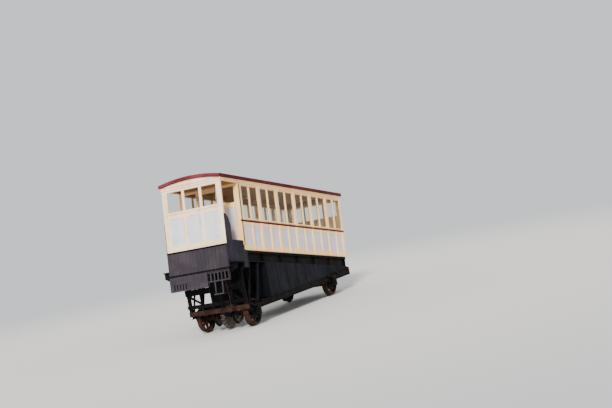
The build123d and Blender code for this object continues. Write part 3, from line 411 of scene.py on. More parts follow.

# %% [markdown]
# The cabin is painted cream, with pale grey-blue panels, a maroon belt and roof edge, and navy plates
# below the vestibule. The cream is warm, and the grime on it is a thin brown-grey. Each paint is painted
# lighter on the outer faces of the downhill end, a painted highlight for the sun that falls on that end.
# The maroon and navy are darkened as painted shade of the sides. Dark paint mirrors a pale studio more
# than it mirrors a wood, and would look grey, so its gloss is kept low.

# %% Body paints
bare_timber = shade(158, 120, 84)
# The last colour of each paint is painted sunlight for the faces of the downhill end.
painted("cream_paint", shade(250, 204, 140), shade(255, 218, 164), sunlit_end_tint=shade(255, 238, 216),
        grime=shade(128, 100, 74), under=bare_timber, grime_amount=0.35, wear=0.4)
painted("panel_paint", shade(194, 192, 206), shade(212, 209, 220), sunlit_end_tint=shade(226, 225, 234),
        grime=shade(122, 112, 108), under=bare_timber, grime_amount=0.4, wear=0.3)
# Maroon and navy: the first two colours are darkened as painted shade of the car's sides.
painted("maroon_paint", shade(72, 12, 18), shade(92, 22, 28), sunlit_end_tint=shade(118, 54, 60),
        grime=shade(44, 24, 22), under=shade(84, 60, 48), grime_amount=0.6, wear=0.4, gloss=0.08)
painted("navy_paint", shade(26, 26, 37), shade(44, 41, 52), sunlit_end_tint=shade(66, 60, 66),
        grime=shade(74, 62, 60), under=shade(86, 76, 72), grime_amount=0.5, wear=0.45, gloss=0.06)
print("body paints:", sorted(finishes))

# %% [markdown]
# The underframe was painted black once. Dust greys it, and rust comes through at its edges. The tank has
# the same paint, but as broad plates it looks more blue and shows more streaks. Both blacks are darker than
# real paint, as painted shade for the shade under the car.

# %% Underframe paints
road_dust = shade(66, 56, 48)
old_steel = shade(52, 44, 40)
# Near-black colours, darker than real paint, as painted shade under the car.
for name, paint, faded, roughness in (("black_paint", shade(7, 7, 9), shade(15, 15, 17), 0.55),
                                      ("tank_paint", shade(12, 14, 19), shade(20, 22, 29), 0.5)):
    painted(name, paint, faded, road_dust, old_steel, roughness, grime_amount=0.25, wear=0.55, gloss=0.05,
            on_cabin=False, rust_under=True)
    print("underframe paint:", name)

# %% [markdown]
# Some pieces were never painted, or lost their paint long ago: wheels, axles, headstocks and the rope's
# clevis are rusty all over, while the pinion's teeth and the brake drums are kept bright by use.

# %% Bare metals


def make_iron(name, metal, amount, bump):
    """Unpainted iron with its share of rust."""
    tree, surface, place = new_finish(name)
    rust = use_group(tree, rusting, (("Vector", place), ("Metal", metal), ("Amount", amount)))
    feed(tree, surface, (("Base Color", rust["Color"]), ("Roughness", rust["Roughness"]),
                         ("Metallic", rust["Metallic"]), ("Specular IOR Level", 0.15)))
    add_bump(tree, surface, rust["Height"], strength=bump, distance=0.002, radius=0.005)


make_iron("rusty_iron", shade(84, 76, 70), amount=0.85, bump=0.6)
make_iron("bare_steel", shade(96, 92, 88), amount=0.42, bump=0.3)
print("bare metals: rusty_iron, bare_steel")

# %% [markdown]
# Brass is never one yellow: it tarnishes brown in patches, and it is smoother where hands hold it. Two
# noises stand for that.

# %% Brass
tree, surface, place = new_finish("brass")
tarnish = band(tree, noise(tree, place, 18.0, detail=5.0), 0.4, 0.7)
handled = band(tree, noise(tree, place, 40.0, detail=3.0), 0.3, 0.7, 0.22, 0.45)
feed(tree, surface, (("Base Color", mixed(tree, tarnish, shade(202, 160, 84), shade(122, 88, 48))),
                     ("Roughness", handled), ("Metallic", 1)))
print("brass made")

# %% [markdown]
# Slats, beams and floor are varnished wood. The grain runs along the cabin, except on boards that lie
# across it: their broad faces look along the cabin, so the face's normal tells them apart. Below the
# floor's top the wood is darkened nearly black. How high a point lies on the cabin is enough for that, so
# one material does it all.

# %% Varnished wood


def make_brown_wood():
    """Varnished wood with its grain along each board, darkened nearly black below the floor."""
    tree, surface, place = new_finish("brown_wood")
    vector = in_cabin_axes(tree, place)
    parts = add_node(tree, "ShaderNodeSeparateXYZ", links=((0, vector),)).outputs
    across = add_node(tree, "ShaderNodeCombineXYZ",
                      links=((0, parts["Y"]), (1, parts["X"]), (2, parts["Z"]))).outputs[0]
    face = tree.nodes.new("ShaderNodeNewGeometry").outputs["True Normal"]
    looks_along = band(tree, math_step(tree, "ABSOLUTE", agreement(tree, face, outwards)), 0.75, 0.85)
    vector = add_node(tree, "ShaderNodeMix", data_type="VECTOR",
                      links=((0, looks_along), (4, vector), (5, across))).outputs[1]
    grain = use_group(tree, wood_grain, (("Vector", vector), ("Light", shade(206, 154, 100)),
                                         ("Dark", shade(138, 94, 60)), ("Wear", 0.35)))
    # Darker towards the bottom: nearly black below the floor's top.
    dark_below_floor = times(tree, band(tree, parts["Z"], 0.124, 0.134, 1.0, 0.0),
                  band(tree, noise(tree, vector, 5.0, detail=5.0), 0.2, 0.6, 0.86, 1.0))
    feed(tree, surface, (("Base Color", mixed(tree, dark_below_floor, grain["Color"], shade(30, 24, 22))),
                         ("Roughness", grain["Roughness"]), ("Specular IOR Level", 0.2)))
    add_bump(tree, surface, grain["Height"], strength=0.35, distance=0.001, radius=0.003)


make_brown_wood()
print("brown wood made")

# %% [markdown]
# The roof is boarded and covered with tarred canvas: matt, nearly black, with a coarse weave and pale
# dust that gathers in soft patches.

# %% Roof felt


def make_roof_felt():
    """Tarred canvas with dust, a little moss and a coarse weave."""
    tree, surface, place = new_finish("roof_felt")
    vector = in_cabin_axes(tree, place)
    clouds = band(tree, noise(tree, vector, 1.4, detail=6.0), 0.35, 0.7)
    color = mixed(tree, clouds, shade(66, 52, 50), shade(98, 84, 78))
    moss = noise(tree, vector, 7.0, detail=6.0, roughness=0.7)
    color = mixed(tree, band(tree, moss, 0.6, 0.75, 0.0, 0.35), color, shade(92, 96, 70))
    weave = noise(tree, vector, 420.0, detail=2.0)
    color = mixed(tree, band(tree, weave, 0.4, 0.7, 0.0, 0.3), color, shade(44, 38, 36))
    feed(tree, surface, (("Base Color", color), ("Roughness", 0.85), ("Specular IOR Level", 0.15)))
    add_bump(tree, surface, math_step(tree, "ADD", weave, times(tree, moss, 1.5)), strength=0.5,
             distance=0.002, radius=0.004)


make_roof_felt()
print("roof felt made")

# %% [markdown]
# Window glass is a thin clear pane with a faint film of dust. Dust is rougher and less clear, so the
# noise drives the roughness only, and the pane stays see-through.

# %% Window glass
tree, surface, place = new_finish("glass")
film = band(tree, noise(tree, place, 6.0, detail=5.0), 0.45, 0.8, 0.02, 0.16)
feed(tree, surface, (("Base Color", (0.93, 0.96, 0.95, 1)), ("Roughness", film), ("Transmission Weight", 1),
                     ("IOR", 1.15), ("Specular IOR Level", 0.6)))
print("glass made")

# %% [markdown]
# Every CAD piece takes the finish of its own slot in the record.

# %% Finish the CAD pieces
for name, piece in nodes.items():
    piece.data.materials.clear()
    piece.data.materials.append(finishes[slot_of[name]])
print("finished", len(nodes), "CAD pieces")

# %% [markdown]
# The small pieces are made in two ways. Mouldings and plates are a few faces each, so they are drawn
# face by face in a bmesh. Rows of rivets and bolts repeat hundreds of times, so Geometry Nodes make them.
# Almost every drawn shape is a skin over a few rings of points: a plate has two rings, a turned piece one
# for each step of its profile, a mitred frame one at each corner.

# %% Piece helpers
merge_reach = 0.00002


def show(name, mesh, slot, body="root"):
    """Puts a finished mesh in the scene, in its slot's finish and on its body."""
    mesh.name = name
    mesh.materials.clear()
    mesh.materials.append(finishes[slot])
    piece = bpy.data.objects.new(name, mesh)
    bpy.context.scene.collection.objects.link(piece)
    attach(piece, body)
    mesh.calc_loop_triangles()
    print(name, "on", body, "has", len(mesh.loop_triangles), "triangles")


def make_mesh(name, drawn):
    """Turns a bmesh into a mesh with its faces outwards."""
    bmesh.ops.recalc_face_normals(drawn, faces=drawn.faces)
    mesh = bpy.data.meshes.new(name)
    drawn.to_mesh(mesh)
    drawn.free()
    return mesh


def show_drawn(name, drawn, slot, body="root"):
    """Shows a bmesh as a piece, with its doubles merged."""
    bmesh.ops.remove_doubles(drawn, verts=drawn.verts, dist=merge_reach)
    show(name, make_mesh(name, drawn), slot, body)


def angles(count):
    """Equal steps round a full turn."""
    return [2 * math.pi * k / count for k in range(count)]


def circle(center, side, up, radius, count):
    """Points round a circle that lies in the plane of two directions."""
    return [center + radius * (math.cos(a) * side + math.sin(a) * up) for a in angles(count)]


def draw_skin(drawn, rings, closed=False):
    """Faces over rings of points; a row of rings gets a cap at each end, a closed one joins up."""
    rings = [[drawn.verts.new(point) for point in ring] for ring in rings]
    for one, two in zip(rings, rings[1:] + rings[:1] if closed else rings[1:]):
        for k in range(len(one)):
            m = (k + 1) % len(one)
            drawn.faces.new((one[k], one[m], two[m], two[k]))
    if not closed:
        drawn.faces.new(rings[0][::-1])
        drawn.faces.new(rings[-1])


def draw_prism(drawn, outline, depth):
    """A plate: an outline of points, pushed out by a depth vector."""
    draw_skin(drawn, [outline, [point + depth for point in outline]])


def draw_block(drawn, place, one, other):
    """A box between two opposite corners; place() turns three numbers into a point of the car."""
    (x0, x1), (y0, y1), (z0, z1) = [sorted(pair) for pair in zip(one, other)]
    face = ((y0, z0), (y1, z0), (y1, z1), (y0, z1))
    draw_skin(drawn, [[place(x, y, z) for y, z in face] for x in (x0, x1)])


def draw_frame(drawn, corners, out, section):
    """A moulding round a four-cornered opening, mitred; section is pairs of inset and height."""
    rings = []
    for i, corner in enumerate(corners):
        to_next = (corners[(i + 1) % 4] - corner).normalized()
        to_last = (corners[i - 1] - corner).normalized()
        rings.append([corner + inset * (to_next + to_last) + height * out for inset, height in section])
    draw_skin(drawn, rings, closed=True)


def draw_run(drawn, start, end, across, out, section):
    """A straight moulding between two points; section is pairs of width and height."""
    draw_prism(drawn, [start + width * across + height * out for width, height in section], end - start)


def draw_side_run(drawn, side, start, end, y, u, section):
    """A moulding along a side of the body; section is pairs of rise and how far it stands out."""
    draw_run(drawn, at(start, side * y, u), at(end, side * y, u), upwards, side * leftwards, section)


def draw_tube(drawn, points, radius, sides=8):
    """A round bar through a few points, with mitred bends and closed ends."""
    rings = []
    for i, point in enumerate(points):
        before = (point - points[max(i - 1, 0)]).normalized()
        after = (points[min(i + 1, len(points) - 1)] - point).normalized()
        ahead = (before + after).normalized()
        side = (side - side.dot(ahead) * ahead).normalized() if rings else ahead.orthogonal().normalized()
        stretch = 1 / max(ahead.dot(after if after.length else before), 0.5)
        rings.append(circle(point, side, ahead.cross(side), radius * stretch, sides))
    draw_skin(drawn, rings)


def draw_lathe(drawn, center, axis, profile, sides=24):
    """A turned piece: profile is pairs of distance along the axis and radius, from end to end."""
    side = axis.orthogonal().normalized()
    draw_skin(drawn, [circle(center + reach * axis, side, axis.cross(side), radius, sides)
                      for reach, radius in profile])


print("piece helpers ready")

# %% [markdown]
# A row of rivets is a line with rivets spaced along it. The tree below takes any mesh of loose edges,
# turns each edge into a curve, cuts the curve at even steps and sets one head on each point, turned the
# way that the edge's "facing" says. The spacing, the size and the finish are inputs, so one tree serves
# every row on the car.

# %% Fastener tree
GEOMETRY, MATERIAL = "NodeSocketGeometry", "NodeSocketMaterial"


def new_geometry_tree(name, inputs, output):
    """A Geometry Nodes tree with its named sockets, and what its input node gives."""
    tree = bpy.data.node_groups.new(name, "GeometryNodeTree")
    for label, kind in inputs:
        tree.interface.new_socket(label, in_out="INPUT", socket_type=kind)
    tree.interface.new_socket(output, in_out="OUTPUT", socket_type=GEOMETRY)
    return tree, tree.nodes.new("NodeGroupInput").outputs


def end_geometry_tree(tree, placed, finish):
    """Makes placed instances real, dresses them and hands them out."""
    solid = add_node(tree, "GeometryNodeRealizeInstances", links=(("Geometry", placed.outputs[0]),))
    dressed = add_node(tree, "GeometryNodeSetMaterial",
                       links=(("Geometry", solid.outputs[0]), ("Material", finish)))
    tree.links.new(dressed.outputs[0], tree.nodes.new("NodeGroupOutput").inputs[0])


def make_fastener_tree():
    """Heads at even steps along every edge of a mesh."""
    tree, given = new_geometry_tree(
        "fastener_rows",
        (("Rows", GEOMETRY), ("Spacing", FLOAT), ("Size", FLOAT), ("Head", "NodeSocketObject"),
         ("Finish", MATERIAL)),
        "Fasteners")
    curves = add_node(tree, "GeometryNodeMeshToCurve", links=(("Mesh", given["Rows"]),))
    points = add_node(tree, "GeometryNodeResampleCurve", mode="LENGTH",
                      links=(("Curve", curves.outputs[0]), ("Length", given["Spacing"])))
    facing = add_node(tree, "GeometryNodeInputNamedAttribute", data_type="FLOAT_VECTOR",
                      links=(("Name", "facing"),))
    turned = add_node(tree, "FunctionNodeAlignRotationToVector", axis="Z",
                      links=(("Vector", facing.outputs[0]),))
    head = add_node(tree, "GeometryNodeObjectInfo", links=(("Object", given["Head"]),))
    placed = add_node(tree, "GeometryNodeInstanceOnPoints",
                      links=(("Points", points.outputs[0]), ("Instance", head.outputs["Geometry"]),
                             ("Rotation", turned.outputs[0]), ("Scale", given["Size"])))
    end_geometry_tree(tree, placed, given["Finish"])
    return tree


def run_tree(tree, mesh, values):
    """Runs a tree on a mesh with its named inputs set, and returns the result as a plain mesh."""
    maker = bpy.data.objects.new("maker", mesh)
    bpy.context.scene.collection.objects.link(maker)
    modifier = maker.modifiers.new("maker", "NODES")
    modifier.node_group = tree
    for item in tree.interface.items_tree:
        if item.in_out == "INPUT" and item.name in values:
            modifier[item.identifier] = values[item.name]
    made = bpy.data.meshes.new_from_object(maker.evaluated_get(bpy.context.evaluated_depsgraph_get()))
    maker.modifiers.remove(modifier)
    bpy.data.objects.remove(maker)
    return made


fastener_tree = make_fastener_tree()
print("tree", fastener_tree.name, "with", len(fastener_tree.nodes), "nodes")

# %% [markdown]
# Two kinds of head are enough: a low round rivet head, and a hexagon bolt head on a washer. Both have a
# radius of one and few faces, because they repeat hundreds of times. A row is its start, its end and
# the way its heads face. A single head is a row that is shorter than the spacing. Most heads come in one
# of five sizes, which are their radii in metres.

# %% Rivet and bolt heads
one_each, short = 1.0, 0.001
large_head, medium_head, small_head = 0.012, 0.011, 0.0085
large_rivet, small_rivet = 0.0095, 0.0075


def make_head(name, sides, profile):
    """A head of radius one that stands on the XY plane."""
    drawn = bmesh.new()
    draw_lathe(drawn, Vector((0, 0, 0)), Vector((0, 0, 1)), profile, sides)
    return bpy.data.objects.new(name, make_mesh(name, drawn))


rivet_head = make_head("rivet_head", 8, ((-0.1, 1.0), (0.3, 0.92), (0.58, 0.55)))
bolt_head = make_head("bolt_head", 6, ((-0.1, 1.0), (0.62, 1.0), (0.72, 0.84)))


def show_rows(name, rows, slot, spacing, size, head=rivet_head, body="root"):
    """Shows rows of heads as one piece; size is the radius of a head."""
    mesh = bpy.data.meshes.new(name)
    points = [point for start, end, out in rows for point in (start, end)]
    mesh.from_pydata(points, [(2 * i, 2 * i + 1) for i in range(len(rows))], [])
    facing = mesh.attributes.new("facing", "FLOAT_VECTOR", "POINT")
    for i, (start, end, out) in enumerate(rows):
        facing.data[2 * i].vector = out
        facing.data[2 * i + 1].vector = out
    made = run_tree(fastener_tree, mesh, {"Spacing": spacing, "Size": size, "Head": head,
                                          "Finish": finishes[slot]})
    show(name, made, slot, body)


def both(rows):
    """Rows of the right side and their mirror images on the left."""
    flip = Vector((1, -1, 1))
    return rows + [(start * flip, end * flip, out * flip) for start, end, out in rows]


def body_row(start, end, y, low, high=None):
    """A row along the right side of the body, level unless it has a second height."""
    return (at(start, -y, low), at(end, -y, low if high is None else high), rightwards)


def frame_row(start, end, out):
    """A row on the underframe; its ends are given from the lower axle."""
    return (past_axle(*start), past_axle(*end), out)


def ring_rows(center, axis, radius, count):
    """Single heads round a circle, all facing along its axis."""
    side = axis.orthogonal().normalized()
    places = circle(center, side, axis.cross(side), radius, count)
    return [(place, place + short * side, axis) for place in places]


print("heads:", rivet_head.name, bolt_head.name)

# %% [markdown]
# The cabin's main sizes come back in almost every piece, so they are named once. All are in metres and
# are those of the CAD model; the pieces below sit on its faces. The overlap is how far a piece goes into
# the face that it sits on, so that no gap shows.

# %% Cabin sizes
half_width = 0.930
wall = 0.055
inner_half = half_width - wall
bay_count, bay_pitch = 6, 1.0
post_width, mullion_width = 0.110, 0.045
window_sill, window_top, wall_top = 0.860, 1.760, 1.810
panel_foot, panel_top = 0.130, 0.695
panel_recess = 0.012
belt_height = 0.790
floor_top = 0.150
cabin_front, cabin_back = -0.100, 6.015
vestibule_front = -0.950
roof_edge_height, roof_edge_depth, roof_rise = 1.988, 0.092, 0.100
roof_front, roof_back, roof_half, roof_rim = -1.000, 6.065, 0.980, 0.040
overlap = 0.001


def side_lights():
    """The h range of each window light of one side."""
    lights = []
    for bay in range(bay_count):
        start = bay * bay_pitch + post_width / 2
        end = (bay + 1) * bay_pitch - post_width / 2
        middle = (start + end) / 2
        lights.append((start, middle - mullion_width / 2))
        lights.append((middle + mullion_width / 2, end))
    return lights


print("window lights on each side:", len(side_lights()))

# %% [markdown]
# A pane is held by a thin bead on each side of the glass, and a sunk panel has a bead in the corner of
# its recess. A bead is one section carried round a rectangle with mitred corners. Curve to Mesh could do
# it, but it twists a section that has to lie flat on a wall, so the four corners are drawn directly.

# %% Window and panel beads
pane_bead = ((0, 0), (0.014, 0), (0.014, 0.004), (0.007, 0.012), (0, 0.012))
panel_bead = ((0, 0), (0.020, 0), (0.018, 0.006), (0.010, 0.010), (0, 0.011))
glass_half = 0.003
side_middle = half_width - wall / 2
bulkhead_bays, middle_bay = ((0.400, 0.800), (-0.800, -0.400)), ((-0.320, 0.320),)
bulkheads = ((cabin_front, -1, bulkhead_bays), (cabin_back - wall, 1, bulkhead_bays + middle_bay))
bulkhead_foot, bulkhead_panel_top, bulkhead_sill = 0.260, 1.190, 1.300
end_bays = [(-0.780 + 0.540 * bay, -0.300 + 0.540 * bay) for bay in range(3)]
end_foot, end_panel_top, end_sill = 0.280, 1.040, 1.200
end_face = vestibule_front + 0.008


def rectangle(place, low_a, high_a, low_b, high_b):
    """Four corners in order, from a function of two coordinates on one plane."""
    return [place(low_a, low_b), place(high_a, low_b), place(high_a, high_b), place(low_a, high_b)]


def draw_side_bead(drawn, side, y, start, end, low, high, way, section):
    """A bead on a plane along the car, at one y; way is 1 where it faces out."""
    corners = rectangle(lambda h, u: at(h, side * y, u), start, end, low, high)
    draw_frame(drawn, corners, side * way * leftwards, section)


def draw_end_bead(drawn, h, y0, y1, low, high, way, section):
    """A bead on a plane across the car, at one h; way is 1 where it faces uphill."""
    corners = rectangle(lambda y, u: at(h, y, u), y0, y1, low, high)
    draw_frame(drawn, corners, -way * outwards, section)


def draw_pane_beads(drawn, middle, y0, y1, low, high):
    """The two beads that hold a pane in a wall across the car."""
    for way in (-1, 1):
        draw_end_bead(drawn, middle + way * glass_half, y0, y1, low, high, way, pane_bead)


beads = bmesh.new()
for side in (-1, 1):
    for start, end in side_lights():
        for way in (-1, 1):
            draw_side_bead(beads, side, side_middle + way * glass_half, start, end, window_sill, window_top,
                           way, pane_bead)
        draw_side_bead(beads, side, half_width - panel_recess, start, end, panel_foot, panel_top,
                       1, panel_bead)
for front, out, bays in bulkheads:
    middle = front + wall / 2
    panel_face = middle + out * (wall / 2 - panel_recess)
    for y0, y1 in bays:
        draw_pane_beads(beads, middle, y0, y1, bulkhead_sill, window_top)
        draw_end_bead(beads, panel_face, y0, y1, bulkhead_foot, bulkhead_panel_top, out, panel_bead)
for y0, y1 in end_bays:
    draw_pane_beads(beads, (end_face + vestibule_front + wall) / 2, y0, y1, end_sill, window_top)
    draw_end_bead(beads, end_face + panel_recess, y0, y1, end_foot, end_panel_top, -1, panel_bead)
show_drawn("window_and_panel_beads", beads, "cream_paint")

# %% [markdown]
# Under the roof edge runs a moulded cornice: a round bead close to the roof and a flat fillet where the
# wall begins. In the photograph they catch the light as two thin lines along the whole side. Each is one
# section carried round the body, mitred at the corners as a joiner would; a negative inset stands outwards.

# %% Cornice mouldings
cornice_face = half_width + 0.008
head_section = ((0, 0), (0, 0.034), (-0.020, 0.030), (-0.030, 0.018), (-0.026, 0.006))
foot_section = ((0, 0), (0, 0.026), (-0.012, 0.024), (-0.018, 0.012), (-0.014, 0.002))
mouldings = bmesh.new()
for low, section in ((roof_edge_height - roof_edge_depth - 0.030, head_section), (wall_top, foot_section)):
    corners = rectangle(lambda h, y: at(h, y, low), vestibule_front, cabin_back, -cornice_face, cornice_face)
    draw_frame(mouldings, corners, upwards, section)
show_drawn("cornice_mouldings", mouldings, "cream_paint")

# %% [markdown]
# The roof's canvas is laid in widths across the car, each lapped over the next and tacked down. A lap is a
# thin band that follows the roof's arch. One band is drawn along the arch, and Geometry Nodes repeat it
# up the roof, so the number of laps and their spacing stay two plain inputs.

# %% Roof laps
lap_section = ((0, -0.003), (0, 0.005), (0.045, 0.0035), (0.045, -0.003))
lap_start, lap_pitch, lap_count = roof_front + 0.30, 0.905, 8
arch_half = roof_half - roof_rim
lap_half = 0.998 * arch_half
arch_radius = (arch_half ** 2 + roof_rise ** 2) / (2 * roof_rise)
arch_middle = roof_edge_height + roof_rise - arch_radius
arch_steps = 28
arch_shares = [2 * i / arch_steps - 1 for i in range(arch_steps + 1)]


def arch_point(h, y, lift=0.0):
    """A point of the roof's upper surface, lifted square to it."""
    angle = math.asin(y / arch_radius)
    reach = arch_radius + lift
    return at(h, reach * math.sin(angle), arch_middle + reach * math.cos(angle))


def make_repeat_tree():
    """One unit, set down again and again by a fixed step."""
    tree, given = new_geometry_tree(
        "repeat_along",
        (("Unit", GEOMETRY), ("Count", "NodeSocketInt"), ("Step", VECTOR), ("Finish", MATERIAL)),
        "Row")
    line = add_node(tree, "GeometryNodeMeshLine", mode="OFFSET",
                    links=(("Count", given["Count"]), ("Offset", given["Step"])))
    placed = add_node(tree, "GeometryNodeInstanceOnPoints",
                      links=(("Points", line.outputs[0]), ("Instance", given["Unit"])))
    end_geometry_tree(tree, placed, given["Finish"])
    return tree


repeat_tree = make_repeat_tree()


def show_repeated(name, drawn, slot, count, step):
    """Shows a drawn unit, repeated in a straight line by Geometry Nodes."""
    values = {"Count": count, "Step": step, "Finish": finishes[slot]}
    show(name, run_tree(repeat_tree, make_mesh(name, drawn), values), slot)


lap = bmesh.new()
draw_skin(lap, [[arch_point(lap_start + h, lap_half * share, lift) for h, lift in lap_section]
                for share in arch_shares])
show_repeated("roof_laps", lap, "roof_felt", lap_count, cabin_way(lap_pitch, 0, 0))

# %% [markdown]
# The floor is boarded along the car. The CAD floor is one slab, so thin boards lie on it with a gap of a
# few millimetres between them, which shows at the open platform and through the windows. On the platform
# they are worn down to a millimetre, because the door swings over them.

# %% Floor boards
board_width, board_gap, board_rows = 0.096, 0.004, 17
board_pitch = board_width + board_gap
first_edge = -board_rows * board_pitch / 2
end_gap, screen_gap = 0.002, 0.060
platform_rise, cabin_rise = 0.001, 0.006
platform = (vestibule_front + screen_gap, cabin_front - end_gap, platform_rise)
cabin = (cabin_front + wall + end_gap, cabin_back - wall - end_gap, cabin_rise)
boards = bmesh.new()
for start, end, rise in (platform, cabin):
    draw_block(boards, at, (start, first_edge, floor_top - overlap),
               (end, first_edge + board_width, floor_top + rise))
show_repeated("floor_boards", boards, "brown_wood", board_rows, cabin_way(0, board_pitch, 0))

# %% [markdown]
# The long bearers are channels with stiffening plates against their webs, and a line of rivets along the
# top and the foot of each web. A strip lies along the lower flange, in the tank's lighter paint, as a painted
# highlight: its edge draws a fine pale line under the cabin, for the lit edge of the flange.

# %% Bearer rivets and stiffeners
web_face, flange_face, flange_plate = 0.835, 0.900, 0.014
bearer_low, bearer_high = -0.300, -0.050
stiffener_half, stiffener_depth, stiffener_start = 0.006, 0.050, -0.040
web_inset, flange_highlight_half = 0.040, 0.004

plates = bmesh.new()
for bay in range(bay_count + 1):
    h = bay * bay_pitch + stiffener_start
    for side in (-1, 1):
        draw_block(plates, at, (h - stiffener_half, side * (web_face - overlap), bearer_low + flange_plate),
                   (h + stiffener_half, side * (web_face + stiffener_depth), bearer_high - flange_plate))
show_drawn("bearer_stiffeners", plates, "black_paint")

rows = [body_row(vestibule_front + 0.050, cabin_back - 0.050, web_face, u)
        for u in (bearer_low + web_inset, bearer_high - web_inset)]
show_rows("bearer_rivets", both(rows), "black_paint", spacing=0.110, size=large_rivet)

# Painted highlight: strips in the lighter tank paint along the lower flanges.
flange_highlights = bmesh.new()
for side in (-1, 1):
    draw_block(flange_highlights, at, (vestibule_front + 0.060, side * (flange_face - flange_highlight_half), bearer_low - 0.003),
               (cabin_back - 0.030, side * (flange_face + flange_highlight_half), bearer_low + flange_plate + 0.004))
show_drawn("bearer_wear_strips", flange_highlights, "tank_paint")

# %% [markdown]
# Between the bearers and the walls a dark angle iron closes the ends of the floor beams, and a bar does
# the same at the uphill end. It would be one line in the CAD too, but it is thin, and its rivets belong
# with the others here.

# %% Sole plates
sole_face, sole_foot, sole_plate = 0.886, 0.899, 0.010
sole_low, sole_high = bearer_high + 0.0005, -0.0015
sole_start, sole_end, closing_bar = 0.045, cabin_back - 0.022, 0.019
lip, lip_top = sole_foot - sole_face + sole_plate, sole_low + 0.008
sole_section = ((sole_low, 0), (sole_low, lip), (lip_top, lip), (lip_top, sole_plate),
                (sole_high, sole_plate), (sole_high, 0))
soles = bmesh.new()
for side in (-1, 1):
    draw_side_run(soles, side, sole_start, sole_end, sole_face - sole_plate, 0, sole_section)
draw_block(soles, at, (sole_end - closing_bar, -sole_face, sole_low), (sole_end, sole_face, sole_high))
show_drawn("sole_plates", soles, "black_paint")
rows = [body_row(sole_start + 0.06, cabin_back - 0.06, sole_face, -0.020)]
show_rows("sole_rivets", both(rows), "black_paint", spacing=0.120, size=small_rivet)

# %% [markdown]
# The tank is riveted plate: every rib and the foot have a line of rivets, close together because the
# joints hold water. Its downhill end, beside the outlet, has a round hand hole with a bolted cover.

# %% Tank rivets and hand hole
tank_front, tank_rear = 0.880, 4.270
tank_face, tank_body, tank_end_half = 0.920, 0.912, 0.870
tank_foot, tank_edge, tank_rib_half = 0.633, 0.060, 0.022
rib_count, row_inset, top_inset = 6, 0.030, 0.040
rib_pitch = (tank_rear - tank_front - 2 * tank_rib_half) / rib_count


def under_bearer(x, drop):
    """Height below the bearers' underside, above a place along the rails."""
    h = (x - bearer_low * math.sin(cabin_tilt)) / math.cos(cabin_tilt)
    return at(h, 0, bearer_low).z - drop


rows = []
for rib in range(rib_count + 1):
    x = tank_front + tank_rib_half + rib * rib_pitch
    rows.append(frame_row((x, -tank_face, tank_foot + tank_edge + 0.020),
                          (x, -tank_face, under_bearer(x, top_inset)), rightwards))
start, end, foot = tank_front + row_inset, tank_rear - row_inset, tank_foot + row_inset
rows.append(frame_row((start, -tank_face, foot), (end, -tank_face, foot), rightwards))
rows.append(frame_row((start, -tank_body, under_bearer(tank_front, top_inset)),
                      (end, -tank_body, under_bearer(tank_rear, top_inset)), rightwards))
show_rows("tank_rivets", both(rows), "tank_paint", spacing=0.062, size=small_rivet)

rows = []
for x, out in ((tank_front, downhill), (tank_rear, uphill)):
    top = under_bearer(x, 0.050)
    for y in (-tank_end_half, tank_end_half):
        rows.append(frame_row((x, y, tank_foot + 0.050), (x, y, top), out))
    for z in (foot, top):
        rows.append(frame_row((x, top_inset - tank_end_half, z), (x, tank_end_half - top_inset, z), out))
show_rows("tank_end_rivets", rows, "tank_paint", spacing=0.070, size=small_rivet)

cover = bmesh.new()
hand_hole, bolt_circle, cover_plate = past_axle(tank_front, 0.380, 0.980), 0.103, 0.010
hand_hole_profile = ((-0.002, 0.120), (0.008, 0.120), (cover_plate, 0.114), (cover_plate, 0.092),
                     (0.016, 0.086), (0.018, 0.030))
draw_lathe(cover, hand_hole, downhill, hand_hole_profile, sides=28)
show_drawn("tank_hand_hole", cover, "tank_paint")
show_rows("hand_hole_bolts", ring_rows(hand_hole + cover_plate * downhill, downhill, bolt_circle, 12),
          "tank_paint", one_each, small_head, bolt_head)

# %% [markdown]
# At the downhill end the body stands on a trestle. Each place where a beam crosses a post has four bolts,
# the outer joints have gusset plates, and bolts go through the headstock below each post.

# %% Trestle fixings
trestle_front, beam_plate, beam_inset, gusset_plate = -0.460, 0.022, 0.025, 0.008
post_rows = (0.865, 0.470, 0.130)
trestle_beams = ((1.09, 1.25), (0.73, 0.83))
headstock_low, headstock_top = 0.525, 0.650


def show_bolt_pairs(name, x, heights, half_gap, slot):
    """Two bolts side by side on every post, at each height."""
    rows = [frame_row((x, -y - half_gap, z), (x, -y + half_gap, z), downhill)
            for z in heights for y in post_rows]
    show_rows(name, both(rows), slot, 2 * half_gap, large_head, bolt_head)


beam_heights = [z for low, high in trestle_beams for z in (low + beam_inset, high - beam_inset)]
show_bolt_pairs("trestle_bolts", trestle_front - beam_plate, beam_heights, 0.018, "black_paint")

gussets = bmesh.new()
upper_gusset = ((-0.905, 1.25), (-0.905, 1.40), (-0.835, 1.40), (-0.720, 1.25))
lower_gusset = [(y, sum(trestle_beams[0]) - z) for y, z in upper_gusset]
for side in (-1, 1):
    for gusset in (upper_gusset, lower_gusset):
        outline = [past_axle(trestle_front, side * y, z) for y, z in gusset]
        draw_prism(gussets, outline, gusset_plate * downhill)
show_drawn("trestle_gussets", gussets, "black_paint")

show_bolt_pairs("headstock_bolts", trestle_front, (headstock_low + 0.032, headstock_top - 0.030), 0.022,
                "rusty_iron")

# %% [markdown]
# The rail bars carry rivets where the cross members, headstocks and horn plates meet them. The rows stop
# at the arches over the axle boxes.

